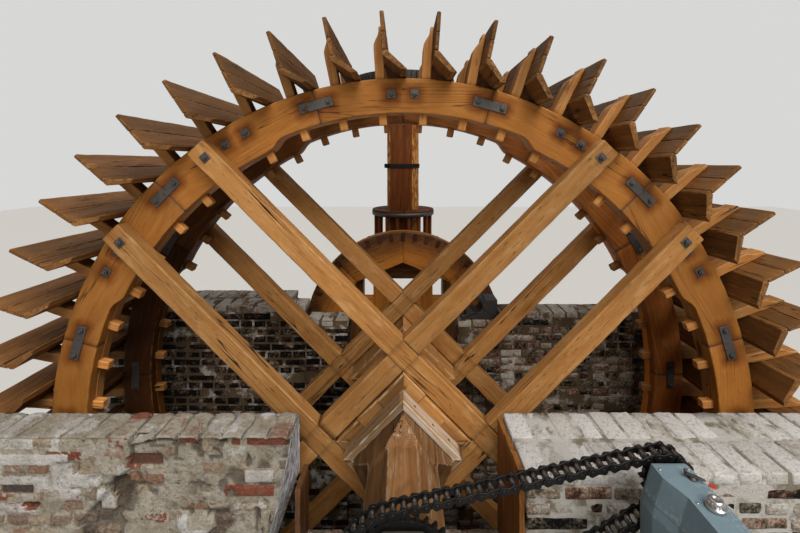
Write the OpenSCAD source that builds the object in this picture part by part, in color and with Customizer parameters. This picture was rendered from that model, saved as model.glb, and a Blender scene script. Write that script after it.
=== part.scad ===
// Undershot watermill: a clasp-arm waterwheel on its timber axle, standing in a brick wheel pit.
// Behind it a face-cogged pit wheel turns a lantern wallower on an upright shaft, and in front a
// roller chain leads from the axle to a geared motor. X runs along the pit, Y along the axle away
// from the viewer, and Z is up from the foot of the walls. All sizes are millimetres.

/* [Wheel] */
// Outer radius of the rims
rim_r = 2450; // [2300:10:2550]
// Radial depth of the rims between the widened parts
rim_depth = 243; // [200:1:280]
// How much deeper the rims are where the arms cross them
rim_swell = 56; // [30:1:80]
// Thickness of one layer of felloes
felloe_t = 80; // [60:1:90]
// Clear distance between the two rims
rim_gap = 558; // [450:1:600]
// Felloes in each layer
felloes = 12; // [8:4:16]
// Gap shown at the butt joint of two felloes
felloe_joint = 1.5; // [1.2:0.1:4]
// Half angle of each widened part
swell_half = 21; // [18:0.5:24]
// Length of the iron strap over a felloe joint
strap_len = 238; // [180:1:260]
// Width of the strap
strap_w = 66; // [40:1:80]
// Thickness of the strap
strap_t = 6; // [4:0.5:10]

/* [Arms] */
// Width of an arm
arm_w = 147; // [120:1:170]
// Thickness of an arm
arm_t = 110; // [80:1:130]
// Distance of an arm's centre line from the middle of the axle
arm_off = 402; // [370:1:440]
// How far the arm ends stay inside the rim's outer edge
arm_inset = 38; // [10:1:90]

/* [Floats] */
// Number of floats
floats = 48; // [36:6:48]
// Height of the float tips above the rim
float_rise = 390; // [330:1:420]
// Thickness of the float boards
board_t = 28; // [20:1:36]
// Radial width of the outer board
outer_board = 132; // [100:1:150]
// Radial width of the inner board
inner_board = 118; // [90:1:130]
// Overhang of the boards beyond the rims
overhang = 223; // [150:1:240]
// Width of a start along the rim
start_w = 66; // [50:1:80]
// Depth of a start along the axle
start_d = 120; // [90:1:150]
// Side of the tenon that passes through the felloes
tenon = 56; // [40:1:60]
// How far the tenon stands out inside the rim
peg_out = 76; // [10:1:90]

/* [Axle] */
// Side of the square axle inside the wheel
axle_side = 440; // [400:1:480]
// Width across flats of the octagonal part
axle_oct = 412; // [380:1:430]
// Length of the sloped end of each chamfer
tongue = 155; // [100:1:200]
// Diameter of the iron gudgeons
gudgeon_d = 120; // [90:1:150]
// Front end of the timber, from the middle of the wheel
axle_front = 1500; // [1450:1:1540]
// Rear end of the timber
axle_rear = 1530; // [1500:1:1545]
// Width of the iron hoops
hoop_w = 50; // [30:1:70]
// Thickness of the iron hoops
hoop_t = 10; // [6:1:16]
// Length of the packing wedges along the axle
wedge_len = 360; // [300:1:420]
// Thickness of the nailed battens
batten_t = 24; // [16:1:32]

/* [Pit walls] */
// Length of the pit walls
wall_len = 6300; // [6000:10:6600]
// Height of the wall tops above the axle
wall_rise = 300; // [250:1:340]
// Height of the rear wall's right part above the axle
rear_rise = 395; // [300:5:420]
// Thickness of a one-brick wall
brick_1 = 250; // [240:1:260]
// Thickness of a two-brick wall
brick_2 = 510; // [500:1:520]
// Clearance between the float ends and the walls
side_clear = 45; // [20:1:70]
// Clearance between the float tips and the foot of the walls
foot_clear = 60; // [40:1:120]
// Half width of the gap for the axle in the front wall
front_gap = 620; // [560:1:680]
// Half width of the gap in the rear wall
rear_gap = 540; // [480:1:600]
// Half width of the lowered part of the rear wall
rear_low = 960; // [900:1:1100]
// How much higher the rear wall stands on the left
left_raise = 60; // [0:5:90]
// Height of that lowered part above the axle
rear_low_rise = 311; // [150:1:330]
// Depth of the gaps below the axle
gap_drop = 430; // [400:1:480]
// Half width of the rear pier
tail_w = 760; // [720:5:840]
// How far the rear pier runs beyond the upright shaft's centre
tail_out = 190; // [170:5:260]
// Length of the front plummer block along the axle
front_block = 150; // [120:1:180]
// Length of the rear plummer block
rear_block = 130; // [110:1:140]
// Side of the bridge posts
post_w = 220; // [180:1:240]
// Distance of each post's centre from the axle
post_x = 600; // [560:5:640]
// Height of the bridge beam
beam_h = 210; // [180:1:230]
// Width of the bridge beam
beam_w = 260; // [220:1:280]
// How far the front pier reaches to the left of the axle
pier_left = 520; // [480:10:600]
// How far the front pier reaches to the right of the motor shaft
pier_right = 400; // [360:10:460]
// Clearance between the pit wheel and the thicker part of the rear wall
pit_side = 70; // [50:5:120]
// Thickness of the boards that line the front gap
lining_t = 32; // [20:1:45]
// How far the left boards end below the wall's top
left_drop = 300; // [0:5:340]

/* [Pit wheel] */
// Outer radius of the pit wheel
pit_r = 1085; // [1000:5:1100]
// How far the cog circle lies inside the rim
cog_inset = 60; // [50:1:150]
// Number of cogs
cogs = 48; // [36:12:60]
// Thickness of the front cants
cant_t = 62; // [50:1:80]
// Thickness of the rear ring and its arms
ring_t = 80; // [60:1:100]
// How far the corners of the eight-sided eye lie inside the rim
eye_inset = 347; // [330:1:430]
// Radial width of the rear ring
pit_ring_w = 250; // [230:5:280]
// Length of a cog behind the wheel
cog_len = 138; // [120:1:145]
// Width of a cog at its root
cog_w = 46; // [38:1:48]
// Height of a cog
cog_h = 88; // [70:1:100]
// Front face of the pit wheel, from the middle of the wheel
pit_front = 1264; // [1240:1:1266]

/* [Wallower and upright shaft] */
// Number of staves
staves = 16; // [12:4:20]
// Diameter of a stave
stave_d = 44; // [36:1:46]
// How far the discs reach beyond the circle of staves
disc_lip = 46; // [34:1:52]
// Thickness of a disc
disc_t = 72; // [50:1:80]
// Height of the top of the upper disc above the cog circle
wallower_rise = 261; // [200:1:270]
// Clear height of the staves
stave_h = 310; // [260:1:330]
// Side of the upright shaft
shaft_af = 388; // [340:1:400]
// Wide chamfer of the shaft, on two opposite corners
chamfer_wide = 83; // [60:1:110]
// Narrow chamfer of the shaft, on the other two corners
chamfer_slim = 36; // [20:1:60]
// Height of the top of the upright shaft above the axle
shaft_top = 2960; // [2900:5:3050]
// Height of the middle hoop of the upright shaft above the axle
mid_hoop = 1798; // [1400:2:2000]
// Radius of the crown gear over its teeth
crown_r = 640; // [580:5:700]
// Distance of the crown gear's underside below the top of the shaft
crown_drop = 170; // [170:5:260]

/* [Chain drive] */
// Pitch radius of the chain on the axle sprocket
chain_r1 = 300; // [280:1:350]
// Pitch radius of the chain on the motor sprocket
chain_r2 = 105; // [95:1:150]
// Sideways place of the motor shaft
motor_x = 1172; // [1120:1:1250]
// Height of the motor shaft above the axle
motor_z = 452; // [400:1:540]
// Distance of the chain from the middle of the wheel
chain_y = 1417; // [1380:1:1430]
// Pitch of the chain
chain_pitch = 50.8; // [44:0.1:56]
// Radius of a chain roller
roller_r = 16; // [12:0.5:18]
// Thickness of a link plate
link_t = 8; // [5:0.5:9]
// Distance between the inner plates
roller_len = 50; // [36:1:56]
// Height of the drive housing's lid above the axle
housing_top = 549; // [500:1:620]
// Length of the drive housing along the axle
housing_len = 560; // [480:5:600]
// Diameter of the motor shaft
motor_shaft_d = 60; // [40:1:70]

/* [Hidden] */

fit = 0.3;
running = 0.1;
run = 6;
big = 4000;
$fn = 96;

rim_t = 2 * felloe_t;
rim_in = rim_gap / 2;
rim_out = rim_in + rim_t;
arm_face = rim_out + arm_t;
board_len = 2 * (rim_out + overhang);
tip_r = rim_r + float_rise;
arm_end_r = rim_r - arm_inset;
inner_r = rim_r - rim_depth;
swell_r = inner_r - rim_swell;
pitch_a = 360 / floats;
kink_r = tip_r - outer_board - inner_board;
strap_r = 0.955 * rim_r;

pit_half = board_len / 2 + side_clear;
axle_z = tip_r + foot_clear;
wall_top = wall_rise;
foot = -axle_z;
front_far = -pit_half;
rear_near = pit_half;

pit_back = pit_front + cant_t + ring_t;
cog_r = pit_r - cog_inset;
eye_r = pit_r - eye_inset;
ring_in = pit_r - pit_ring_w;
wallower_top = cog_r + wallower_rise;
cog_tip = pit_back + cog_len;
wallower_r = cog_r * staves / cogs;
disc_r = wallower_r + disc_lip;
crown_z = shaft_top - crown_drop;
upright_y = pit_back + 0.62 * cog_len + wallower_r;
low_disc_top = wallower_top - disc_t - stave_h;
shaft_foot = low_disc_top - disc_t - 60;

pier_top = -gap_drop;
drive_d = hypot2(motor_x, motor_z);
drive_a = atan2(motor_z, motor_x);

// the model stands with the middle of its outer box over the origin
y_front = -(chain_y + 60 + housing_len + 60);
y_rear = upright_y + crown_r;
y_mid = (y_front + y_rear) / 2;

oak = [0.72, 0.52, 0.30];
pale = [0.78, 0.64, 0.42];
orange = [0.66, 0.38, 0.16];
dark = [0.24, 0.17, 0.12];
iron = [0.20, 0.19, 0.18];
brick = [0.60, 0.50, 0.43];
steel = [0.50, 0.54, 0.58];

function hypot2(a, b) = sqrt(a * a + b * b);
function s_curve(t) = t * t * (3 - 2 * t);

// a plane outline in X and Z, given thickness from y0 back to y1
module plate(y0, y1) {
    translate([0, y1, 0])
        rotate([90, 0, 0])
            linear_extrude(y1 - y0)
                children();
}

module placed() {
    translate([0, -y_mid, axle_z])
        children();
}

module block(x0, x1, y0, y1, z0, z1) {
    translate([x0, y0, z0])
        cube([x1 - x0, y1 - y0, z1 - z0]);
}

module octagon(af) {
    rotate(22.5)
        circle(d = af / cos(22.5), $fn = 8);
}

// outline of the upright shaft, enlarged by grow on all sides
module shaft_outline(grow = 0) {
    h = shaft_af / 2 + grow;
    a = chamfer_wide + (2 - sqrt(2)) * grow;
    b = chamfer_slim + (2 - sqrt(2)) * grow;
    polygon([[h - a, -h], [h, a - h], [h, h - b], [h - b, h],
             [a - h, h], [-h, h - a], [-h, b - h], [b - h, -h]]);
}

// Masonry

module front_wall_left() {
    color(brick) placed()
        block(-wall_len / 2, -front_gap, front_far - brick_1, front_far, foot, wall_top);
}

module front_wall_right() {
    color(brick) placed()
        block(front_gap, wall_len / 2, front_far - brick_2, front_far, foot, wall_top);
}

module front_sill() {
    color(brick) placed()
        block(-front_gap + fit, front_gap - fit, front_far - brick_2, front_far, foot, pier_top);
}

// upright boards on the ends of the front wall, side by side along the axle
module lining(x, depth, count, drop) {
    board = (depth - 35) / count;
    for (k = [0:count - 1])
        translate([x, front_far - depth + 20 + board * k, pier_top + fit])
            cube([lining_t - fit, board - 1.5, wall_top - pier_top - drop - 12 - 9 * k]);
}

module gap_lining() {
    color(pale) placed() {
        lining(-front_gap + fit, brick_1, 2, left_drop);
        lining(front_gap - lining_t, brick_2, 3, 0);
    }
}

module rear_wall_left() {
    color(brick) placed() union() {
        block(-wall_len / 2, -rear_low, rear_near, rear_near + brick_1, foot, rear_rise + left_raise);
        block(-wall_len / 2, -pit_r - pit_side, rear_near, rear_near + brick_2, foot, rear_rise + left_raise);
        block(-wall_len / 2, -rear_gap, rear_near, rear_near + brick_1, foot, rear_low_rise);
    }
}

module rear_wall_right() {
    color(brick) placed() union() {
        block(rear_low, wall_len / 2, rear_near, rear_near + brick_1, foot, rear_rise);
        block(rear_gap, wall_len / 2, rear_near, rear_near + brick_1, foot, rear_low_rise);
    }
}

module rear_sill() {
    color(brick) placed()
        block(-rear_gap + fit, rear_gap - fit, rear_near, rear_near + brick_1, foot, pier_top);
}

pier_y1 = front_far - brick_2 - fit;
module front_pier() {
    color(brick) placed()
        block(-pier_left, motor_x + pier_right, y_front, pier_y1, foot, pier_top);
}

module tail_pier() {
    color(brick) placed()
        block(-tail_w, tail_w, axle_rear + 40, upright_y + tail_out, foot, pier_top);
}

// Bearings and the bridge that carries the upright shaft

module plummer(y, len) {
    base_w = 520;
    base_t = 60;
    difference() {
        plate(y - len / 2, y + len / 2) {
            difference() {
                union() {
                    translate([-base_w / 2, pier_top + fit])
                        square([base_w, base_t]);
                    translate([-gudgeon_d * 1.15, pier_top + fit])
                        square([gudgeon_d * 2.3, -pier_top]);
                    circle(r = gudgeon_d * 1.15);
                }
                circle(d = gudgeon_d + 2 * running);
            }
        }
        for (x = [-0.4, 0.4] * base_w)
            translate([x, y, pier_top])
                cylinder(d = 26, h = base_t * 3, center = true);
    }
}

module front_bearing() {
    color(iron) placed()
        plummer(-axle_front - front_block, front_block);
}

module rear_bearing() {
    color(iron) placed()
        plummer(axle_rear + 0.95 * rear_block, rear_block);
}

beam_top = shaft_foot - 130;
module bridge_posts() {
    color(oak) placed()
        for (x = [-post_x, post_x])
            block(x - post_w / 2, x + post_w / 2, upright_y - post_w / 2, upright_y + post_w / 2,
                  pier_top + fit, beam_top - beam_h - fit);
}

module bridge_beam() {
    color(oak) placed()
        block(-post_x - 0.8 * post_w, post_x + 0.8 * post_w, upright_y - beam_w / 2, upright_y + beam_w / 2,
              beam_top - beam_h, beam_top);
}

pintle_d = 70;
module footstep_bearing() {
    color(iron) placed()
        translate([0, upright_y, beam_top + fit])
            difference() {
                union() {
                    translate([-120, -120, 0])
                        cube([240, 240, 22]);
                    cylinder(d1 = 190, d2 = 140, h = 100);
                }
                translate([0, 0, 20])
                    cylinder(d = pintle_d + 2 * running, h = 200);
            }
}

module old_bearing() {
    color(iron) placed()
        plate(rear_near + 30, rear_near + brick_1 - 30)
            translate([rear_low - 233, rear_low_rise + fit])
                difference() {
                    union() {
                        translate([-150, 0])
                            square([358, 40]);
                        translate([-105, 0])
                            square([210, 126]);
                        translate([0, 126])
                            circle(r = 105);
                        translate([92, 0])
                            square([116, 190]);
                    }
                    translate([0, 126])
                        circle(r = 60);
                }
}

// The chain drive

lean = asin((chain_r1 - chain_r2) / drive_d);
run_len = drive_d * cos(lean);
wrap_1 = (180 + 2 * lean) * PI / 180 * chain_r1;
wrap_2 = (180 - 2 * lean) * PI / 180 * chain_r2;
chain_len = wrap_1 + wrap_2 + 2 * run_len;
links = 2 * round(chain_len / chain_pitch / 2);
step_len = chain_len / links;

// a point on the chain's pitch line, at length s from where the lower run meets the axle sprocket,
// in a frame whose x axis runs from the axle to the motor shaft
function chain_at(s) =
    s < wrap_1
        ? let (a = -90 + lean - s / wrap_1 * (180 + 2 * lean) + 0)
              chain_r1 * [cos(a), sin(a)]
        : s < wrap_1 + run_len
            ? let (t = (s - wrap_1) / run_len)
                  [sin(lean), cos(lean)] * chain_r1 * (1 - t)
                      + ([drive_d, 0] + [sin(lean), cos(lean)] * chain_r2) * t
            : s < wrap_1 + run_len + wrap_2
                ? let (a = 90 - lean - (s - wrap_1 - run_len) / wrap_2 * (180 - 2 * lean))
                      [drive_d, 0] + chain_r2 * [cos(a), sin(a)]
                : let (t = (s - wrap_1 - run_len - wrap_2) / run_len)
                      ([drive_d, 0] + [sin(lean), -cos(lean)] * chain_r2) * (1 - t)
                          + [sin(lean), -cos(lean)] * chain_r1 * t;

function pin_at(i) = chain_at(((i % links) + 0.01) * step_len);

module link_plates(d, y_in) {
    for (side = [-1, 1])
        plate(side < 0 ? -y_in - link_t : y_in, side < 0 ? -y_in : y_in + link_t) {
            circle(r = 21, $fn = 24);
            translate([d, 0])
                circle(r = 21, $fn = 24);
            translate([0, -15])
                square([d, 30]);
        }
}

module crosswise(d, r, half) {
    for (x = [0, d])
        translate([x, half, 0])
            rotate([90, 0, 0])
                cylinder(r = r, h = 2 * half, $fn = 24);
}

module inner_link(d) {
    difference() {
        union() {
            link_plates(d, roller_len / 2);
            crosswise(d, roller_r, roller_len / 2 + 1);
        }
        crosswise(d, 10 + fit, 60);
    }
}

module outer_link(d) {
    link_plates(d, roller_len / 2 + link_t + fit);
    crosswise(d, 10, roller_len / 2 + 2 * link_t + 4);
}

module drive_chain() {
    color(iron) placed()
        translate([0, -chain_y, 0])
            rotate([0, -drive_a, 0])
                for (i = [0:links - 1]) {
                    p = pin_at(i);
                    q = pin_at(i + 1);
                    d = hypot2(q[0] - p[0], q[1] - p[1]);
                    translate([p[0], 0, p[1]])
                        rotate([0, -atan2(q[1] - p[1], q[0] - p[0]), 0])
                            if (i % 2 == 0) inner_link(d);
                            else outer_link(d);
                }
}

module toothed(r_tip, r_root, teeth, half_w) {
    circle(r = r_root);
    for (k = [0:teeth - 1])
        rotate(360 * k / teeth)
            polygon([[r_root - 4, -half_w], [r_tip, -half_w * 0.5], [r_tip, half_w * 0.5],
                     [r_root - 4, half_w]]);
}

module axle_sprocket() {
    tip = chain_r1 - roller_r - run;
    color(iron) placed()
        plate(-chain_y - 12, -chain_y + 12)
            difference() {
                toothed(tip, tip - 26, round(2 * PI * chain_r1 / step_len), 12);
                octagon(axle_oct + 2 * fit);
            }
}

// the rollers sit on the motor sprocket's root circle, between its teeth
module motor_sprocket() {
    root = chain_r2 - roller_r - fit;
    teeth = round(2 * PI * chain_r2 / step_len);
    first = ceil((wrap_1 + run_len) / step_len);
    s0 = (first + 0.51) * step_len - wrap_1 - run_len;
    color(iron) placed()
        plate(-chain_y - 12, -chain_y + 12)
            translate([motor_x, motor_z])
                rotate(drive_a + 90 - lean - s0 / chain_r2 * 180 / PI)
                    difference() {
                        toothed(chain_r2 + 2, root, teeth, 7);
                        circle(d = motor_shaft_d + 2 * fit);
                    }
}

housing_back = -chain_y - 60;
housing_w = 300;
housing_x = motor_x - 139;
base_h = 90;

module motor_shaft() {
    color(steel) placed()
        translate([motor_x, -chain_y + 50, motor_z])
            rotate([90, 0, 0])
                cylinder(d = motor_shaft_d, h = 50 - chain_y - housing_back - fit);
}

module housing_base() {
    color(iron) placed()
        block(housing_x - 40, housing_x + housing_w + 60, housing_back - housing_len - 20,
              housing_back + 30, pier_top + fit, pier_top + base_h);
}

// the housing seen along the axle: its left side leans in to the lid, the right one is upright
module housing_outline(shift) {
    low = pier_top + base_h + fit;
    polygon([[housing_x + shift, low], [housing_x + shift, housing_top - 150],
             [housing_x + shift + 47, housing_top], [housing_x + housing_w - 104, housing_top],
             [housing_x + housing_w - 14, housing_top - 90],
             [housing_x + housing_w, housing_top - 240], [housing_x + housing_w, low]]);
}

module drive_housing() {
    step_1 = housing_back - 87;
    step_2 = housing_back - 184;
    color(steel) placed() union() {
        plate(step_1, housing_back)
            housing_outline(0);
        hull() {
            plate(step_1, step_1 + 1)
                housing_outline(0);
            plate(step_2 - 1, step_2)
                housing_outline(36);
        }
        plate(housing_back - housing_len, step_2)
            housing_outline(36);
    }
}

cap_x = housing_x + housing_w - 150;
module housing_cap() {
    color(iron) placed()
        translate([cap_x, housing_back - 234, housing_top + fit])
            rotate_extrude()
                polygon([[0, 0], [34, 0], [34, 14], [26, 18], [26, 34], [22, 40], [0, 40]]);
}

module housing_latch() {
    color(iron) placed()
        translate([housing_x + 165, housing_back - 92, housing_top + fit])
            union() {
                translate([-12, -9, 0])
                    cube([24, 18, 12]);
                translate([-30, -4, 10])
                    cube([60, 8, 20]);
            }
}

// The axle

module chamfer_cuts() {
    deep = axle_oct / 2;
    corner = axle_side / 2 * sqrt(2);
    start_f = -pit_half - 45;
    start_r = arm_face + 60;
    for (k = [0:3])
        rotate([0, 45 * 0 + 90 * k, 0]) {
            translate([-big / 2, 0, 0])
                rotate([90, 0, 90])
                    linear_extrude(big) {
                        polygon(concat(
                            [for (i = [0:6]) let (t = i / 6)
                                 [start_f - tongue * t, corner + 2 - (corner + 2 - deep) * s_curve(t)]],
                            [[-big, deep], [-big, big], [start_f, big]]));
                        polygon(concat(
                            [for (i = [0:6]) let (t = i / 6)
                                 [start_r + tongue * t, corner + 2 - (corner + 2 - deep) * s_curve(t)]],
                            [[big, deep], [big, big], [start_r, big]]));
                    }
        }
}

module axle() {
    color(oak) placed()
        difference() {
            plate(-axle_front, axle_rear)
                rotate(45)
                    square(axle_side, center = true);
            chamfer_cuts();
            // the octagon's other four faces
            for (k = [0:3], side = [-1, 1])
                rotate([0, 45 + 90 * k, 0])
                    block(-big / 2, big / 2,
                          side < 0 ? -big : arm_face + 60 + tongue,
                          side < 0 ? -pit_half - 45 - tongue : big,
                          axle_oct / 2, big);
            for (y = [-axle_front - 1, axle_rear - 179])
                translate([0, y + 180, 0])
                    rotate([90, 0, 0])
                        cylinder(d = gudgeon_d + 2 * fit, h = 181);
        }
}

module axle_gudgeons() {
    color(iron) placed() {
        translate([0, -axle_front + 170, 0])
            rotate([90, 0, 0])
                cylinder(d = gudgeon_d, h = 170 + 260);
        translate([0, axle_rear + 210, 0])
            rotate([90, 0, 0])
                cylinder(d = gudgeon_d, h = 210 + 170);
    }
}

module axle_hoops() {
    color(iron) placed()
        for (y = [-axle_front + 10, axle_rear - 10 - hoop_w])
            plate(y, y + hoop_w)
                difference() {
                    octagon(axle_oct + 2 * fit + 2 * hoop_t);
                    octagon(axle_oct + 2 * fit);
                }
}

// the packing between the axle's faces and the arms that clasp it
wedge_t = arm_off - arm_w / 2 - axle_side / 2;
module hub_wedges() {
    color(pale) placed()
        for (side = [-1, 1], k = [0:3], half = [-1, 1])
            rotate([0, 45 + 90 * k, 0])
                translate([half * 105 - 98,
                           side < 0 ? -arm_face - 20 : arm_face + 20 - wedge_len,
                           axle_side / 2 + fit])
                    cube([196, wedge_len, wedge_t - 2 * fit]);
}

module hub_battens() {
    color(pale) placed()
        for (side = [-1, 1], k = [0:3])
            rotate([0, 45 + 90 * k, 0])
                translate([-190, side < 0 ? -arm_face - 20 - 72 - fit : arm_face + 20 + fit,
                           axle_side / 2 + fit])
                    cube([380, 72, batten_t]);
}

// The waterwheel

module narrow_part() {
    half = 45 - swell_half;
    ease = 1.6;
    polygon(concat(
        [[0, 0]],
        [for (i = [0:8]) let (t = i / 8, r = swell_r - 1 + (rim_swell + 1) * s_curve(t),
                              a = -half - ease + 2 * ease * t) r * [cos(a), sin(a)]],
        [for (i = [1:15]) let (a = -half + ease + (2 * half - 2 * ease) * i / 16)
             inner_r * [cos(a), sin(a)]],
        [for (i = [0:8]) let (t = i / 8, r = inner_r - (rim_swell + 1) * s_curve(t),
                              a = half - ease + 2 * ease * t) r * [cos(a), sin(a)]]));
}

module rim_outline() {
    difference() {
        circle(r = rim_r, $fn = 240);
        circle(r = swell_r, $fn = 240);
        for (k = [0:3])
            rotate(90 * k)
                narrow_part();
    }
}

module felloe_ring(first, y0, y1, mortise_y) {
    step = 360 / felloes;
    difference() {
        plate(y0, y1)
            rim_outline();
        for (k = [0:felloes - 1])
            rotate([0, -first - step * k, 0])
                translate([swell_r - 20, y0 - 1, -felloe_joint / 2])
                    cube([rim_r - swell_r + 60, y1 - y0 + 2, felloe_joint]);
        for (k = [0:floats - 1])
            rotate([0, -(k + 0.5) * pitch_a, 0])
                translate([swell_r - 20, mortise_y - tenon / 2 - fit, -tenon / 2 - fit])
                    cube([rim_r - swell_r + 60, tenon + 2 * fit, tenon + 2 * fit]);
    }
}

module front_rim_outer() {
    color(oak) placed()
        felloe_ring(15, -rim_out, -rim_out + felloe_t - fit, -rim_out + felloe_t);
}

module front_rim_inner() {
    color(oak) placed()
        felloe_ring(0, -rim_out + felloe_t, -rim_in, -rim_out + felloe_t);
}

module rear_rim_inner() {
    color(oak) placed()
        felloe_ring(0, rim_in, rim_out - felloe_t, rim_out - felloe_t);
}

module rear_rim_outer() {
    color(oak) placed()
        felloe_ring(15, rim_out - felloe_t + fit, rim_out, rim_out - felloe_t);
}

// two parallel arms, with the half laps where the other pair crosses
module arm_pair(angle, y0, lap_y0) {
    half_len = sqrt(arm_end_r * arm_end_r - arm_off * arm_off);
    rotate([0, -angle, 0])
        difference() {
            for (side = [-1, 1])
                block(-half_len, half_len, y0, y0 + arm_t,
                      side * arm_off - arm_w / 2, side * arm_off + arm_w / 2);
            for (x = [-1, 1])
                block(x * arm_off - arm_w / 2 - fit, x * arm_off + arm_w / 2 + fit,
                      lap_y0, lap_y0 + arm_t / 2 + 1 + fit, -big, big);
        }
}

module front_arms_down() {
    color(oak) placed()
        arm_pair(-45, -arm_face, -rim_out - arm_t / 2 - fit);
}

module front_arms_up() {
    color(oak) placed()
        arm_pair(45, -arm_face, -arm_face - 1);
}

module rear_arms_down() {
    color(oak) placed()
        arm_pair(-45, rim_out, arm_face - arm_t / 2 - fit);
}

module rear_arms_up() {
    color(oak) placed()
        arm_pair(45, rim_out, rim_out - 1);
}

module rim_straps() {
    color(iron) placed()
        for (side = [-1, 1], k = [0:felloes - 1]) {
            rotate([0, -15 - 30 * k, 0])
                translate([strap_r, side * (rim_out + fit + strap_t / 2), 0])
                    cube([strap_w, strap_t, strap_len], center = true);
            rotate([0, -30 * k, 0])
                translate([strap_r, side * (rim_in - fit - strap_t / 2), 0])
                    cube([strap_w, strap_t, strap_len], center = true);
        }
}

// one start in its own plane: outwards along x, with the scooped taper on its free side
module start_outline() {
    back = -start_w / 2;
    top = tip_r - 18;
    scoop = 110;
    polygon(concat(
        [[rim_r + fit, back], [top, back]],
        [[top, back + 0.36 * start_w]],
        [for (i = [0:8]) let (t = i / 8)
             [top - 30 - scoop * t, back + start_w * (0.36 + 0.64 * s_curve(t))]],
        [[rim_r + fit, -back]]));
}

module starts(mid) {
    for (k = [0:floats - 1])
        rotate([0, -(k + 0.5) * pitch_a, 0]) {
            plate(mid - start_d / 2, mid + start_d / 2)
                start_outline();
            start = (abs((k + 0.5) * pitch_a % 90 - 45) < swell_half ? swell_r : inner_r) - peg_out;
            translate([start, mid - tenon / 2, -tenon / 2])
                cube([rim_r - start + 5, tenon, tenon]);
        }
}

module front_starts() {
    color(oak) placed()
        starts(-rim_out + felloe_t);
}

module rear_starts() {
    color(oak) placed()
        starts(rim_out - felloe_t);
}

board_side = start_w / 2 + fit;
module float_boards(r0, r1) {
    for (k = [0:floats - 1])
        rotate([0, -(k + 0.5) * pitch_a, 0])
            translate([r0, -board_len / 2, -board_side - board_t])
                cube([r1 - r0, board_len, board_t]);
}

module float_outer_boards() {
    color(oak) placed()
        float_boards(tip_r - outer_board, tip_r);
}

module float_inner_boards() {
    color(oak) placed()
        float_boards(kink_r, tip_r - outer_board - 1.2);
}

module float_kick_boards() {
    rise = kink_r - rim_r;
    color(oak) placed()
        for (k = [0:floats - 1])
            rotate([0, -(k + 0.5) * pitch_a, 0])
                plate(-board_len / 2 + 2, board_len / 2 - 2)
                    polygon([[kink_r - 1, -board_side],
                             [kink_r - 1, -board_side - board_t],
                             [rim_r + 4, -board_side - rise - board_t * 0.6],
                             [rim_r + 4, -board_side - rise + board_t * 0.8],
                             [kink_r - board_t * 1.1, -board_side]]);
}

// The pit wheel

module pit_wheel_cants() {
    step = 45;
    color(orange) placed()
        difference() {
            plate(pit_front, pit_front + cant_t - fit)
                difference() {
                    circle(r = pit_r, $fn = 180);
                    rotate(90)
                        circle(r = eye_r, $fn = 8);
                }
            for (k = [0:7])
                rotate([0, -90 - step * k, 0])
                    translate([eye_r * 0.8, pit_front - 1, -felloe_joint / 2])
                        cube([pit_r, cant_t + 2, felloe_joint]);
            cog_mortises();
        }
}

module cog_mortises() {
    for (k = [0:cogs - 1])
        rotate([0, -90 - 360 / cogs * k, 0])
            translate([cog_r - cog_h / 2 - fit, pit_front - 2, -cog_w / 2 - fit])
                cube([cog_h + 2 * fit, cant_t + ring_t + 4, cog_w + 2 * fit]);
}

module pit_wheel_ring() {
    color(orange) placed()
        difference() {
            plate(pit_front + cant_t, pit_back)
                difference() {
                    circle(r = pit_r, $fn = 180);
                    circle(r = ring_in, $fn = 180);
                }
            cog_mortises();
        }
}

pit_arm_w = 130;
module pit_wheel_arms() {
    off = axle_oct / 2 + pit_arm_w / 2 + fit;
    end = sqrt(pow(ring_in - fit, 2) - pow(off + pit_arm_w / 2, 2));
    color(orange) placed()
        for (a = [0, 90])
            rotate([0, a, 0])
                difference() {
                    for (side = [-1, 1])
                        block(-end, end, pit_front + cant_t, pit_back - fit,
                              side * off - pit_arm_w / 2, side * off + pit_arm_w / 2);
                    for (x = [-1, 1])
                        block(x * off - pit_arm_w / 2 - fit, x * off + pit_arm_w / 2 + fit,
                              a == 0 ? pit_front + cant_t - 1 : pit_front + cant_t + ring_t / 2 - fit,
                              a == 0 ? pit_front + cant_t + ring_t / 2 + fit : pit_back + 1,
                              -big, big);
                }
}

module pit_wheel_cogs() {
    color(dark) placed()
        for (k = [0:cogs - 1])
            rotate([0, -90 - 360 / cogs * k, 0])
                translate([cog_r - cog_h / 2, 0, 0])
                    rotate([90, 0, 90])
                        linear_extrude(cog_h)
                            cog_outline();
}

// a cog seen along its height: the shank, then the head narrowing to a rounded tip
module cog_outline() {
    tip_w = cog_w * 0.56;
    polygon([[pit_front - 8, -cog_w / 2], [pit_back, -cog_w / 2],
             [pit_back + 30, -cog_w / 2],
             [cog_tip - 20, -tip_w / 2 - 3], [cog_tip, -tip_w / 2 + 6],
             [cog_tip, tip_w / 2 - 6], [cog_tip - 20, tip_w / 2 + 3],
             [pit_back + 30, cog_w / 2],
             [pit_back, cog_w / 2], [pit_front - 8, cog_w / 2]]);
}

// The wallower and the upright shaft

module at_upright() {
    translate([0, upright_y, 0])
        children();
}

module upright_shaft() {
    color(oak) placed() at_upright()
        difference() {
            union() {
                translate([0, 0, shaft_foot])
                    linear_extrude(shaft_top - shaft_foot)
                        shaft_outline();
                translate([0, 0, beam_top + 22 + fit])
                    cylinder(d = pintle_d, h = shaft_foot - beam_top);
            }
        }
}

module shaft_hoops() {
    color(iron) placed() at_upright()
        for (z = [shaft_foot + 4, mid_hoop, shaft_top - hoop_w - 8])
            translate([0, 0, z])
                linear_extrude(hoop_w)
                    difference() {
                        shaft_outline(fit + hoop_t);
                        shaft_outline(fit);
                    }
}

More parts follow.
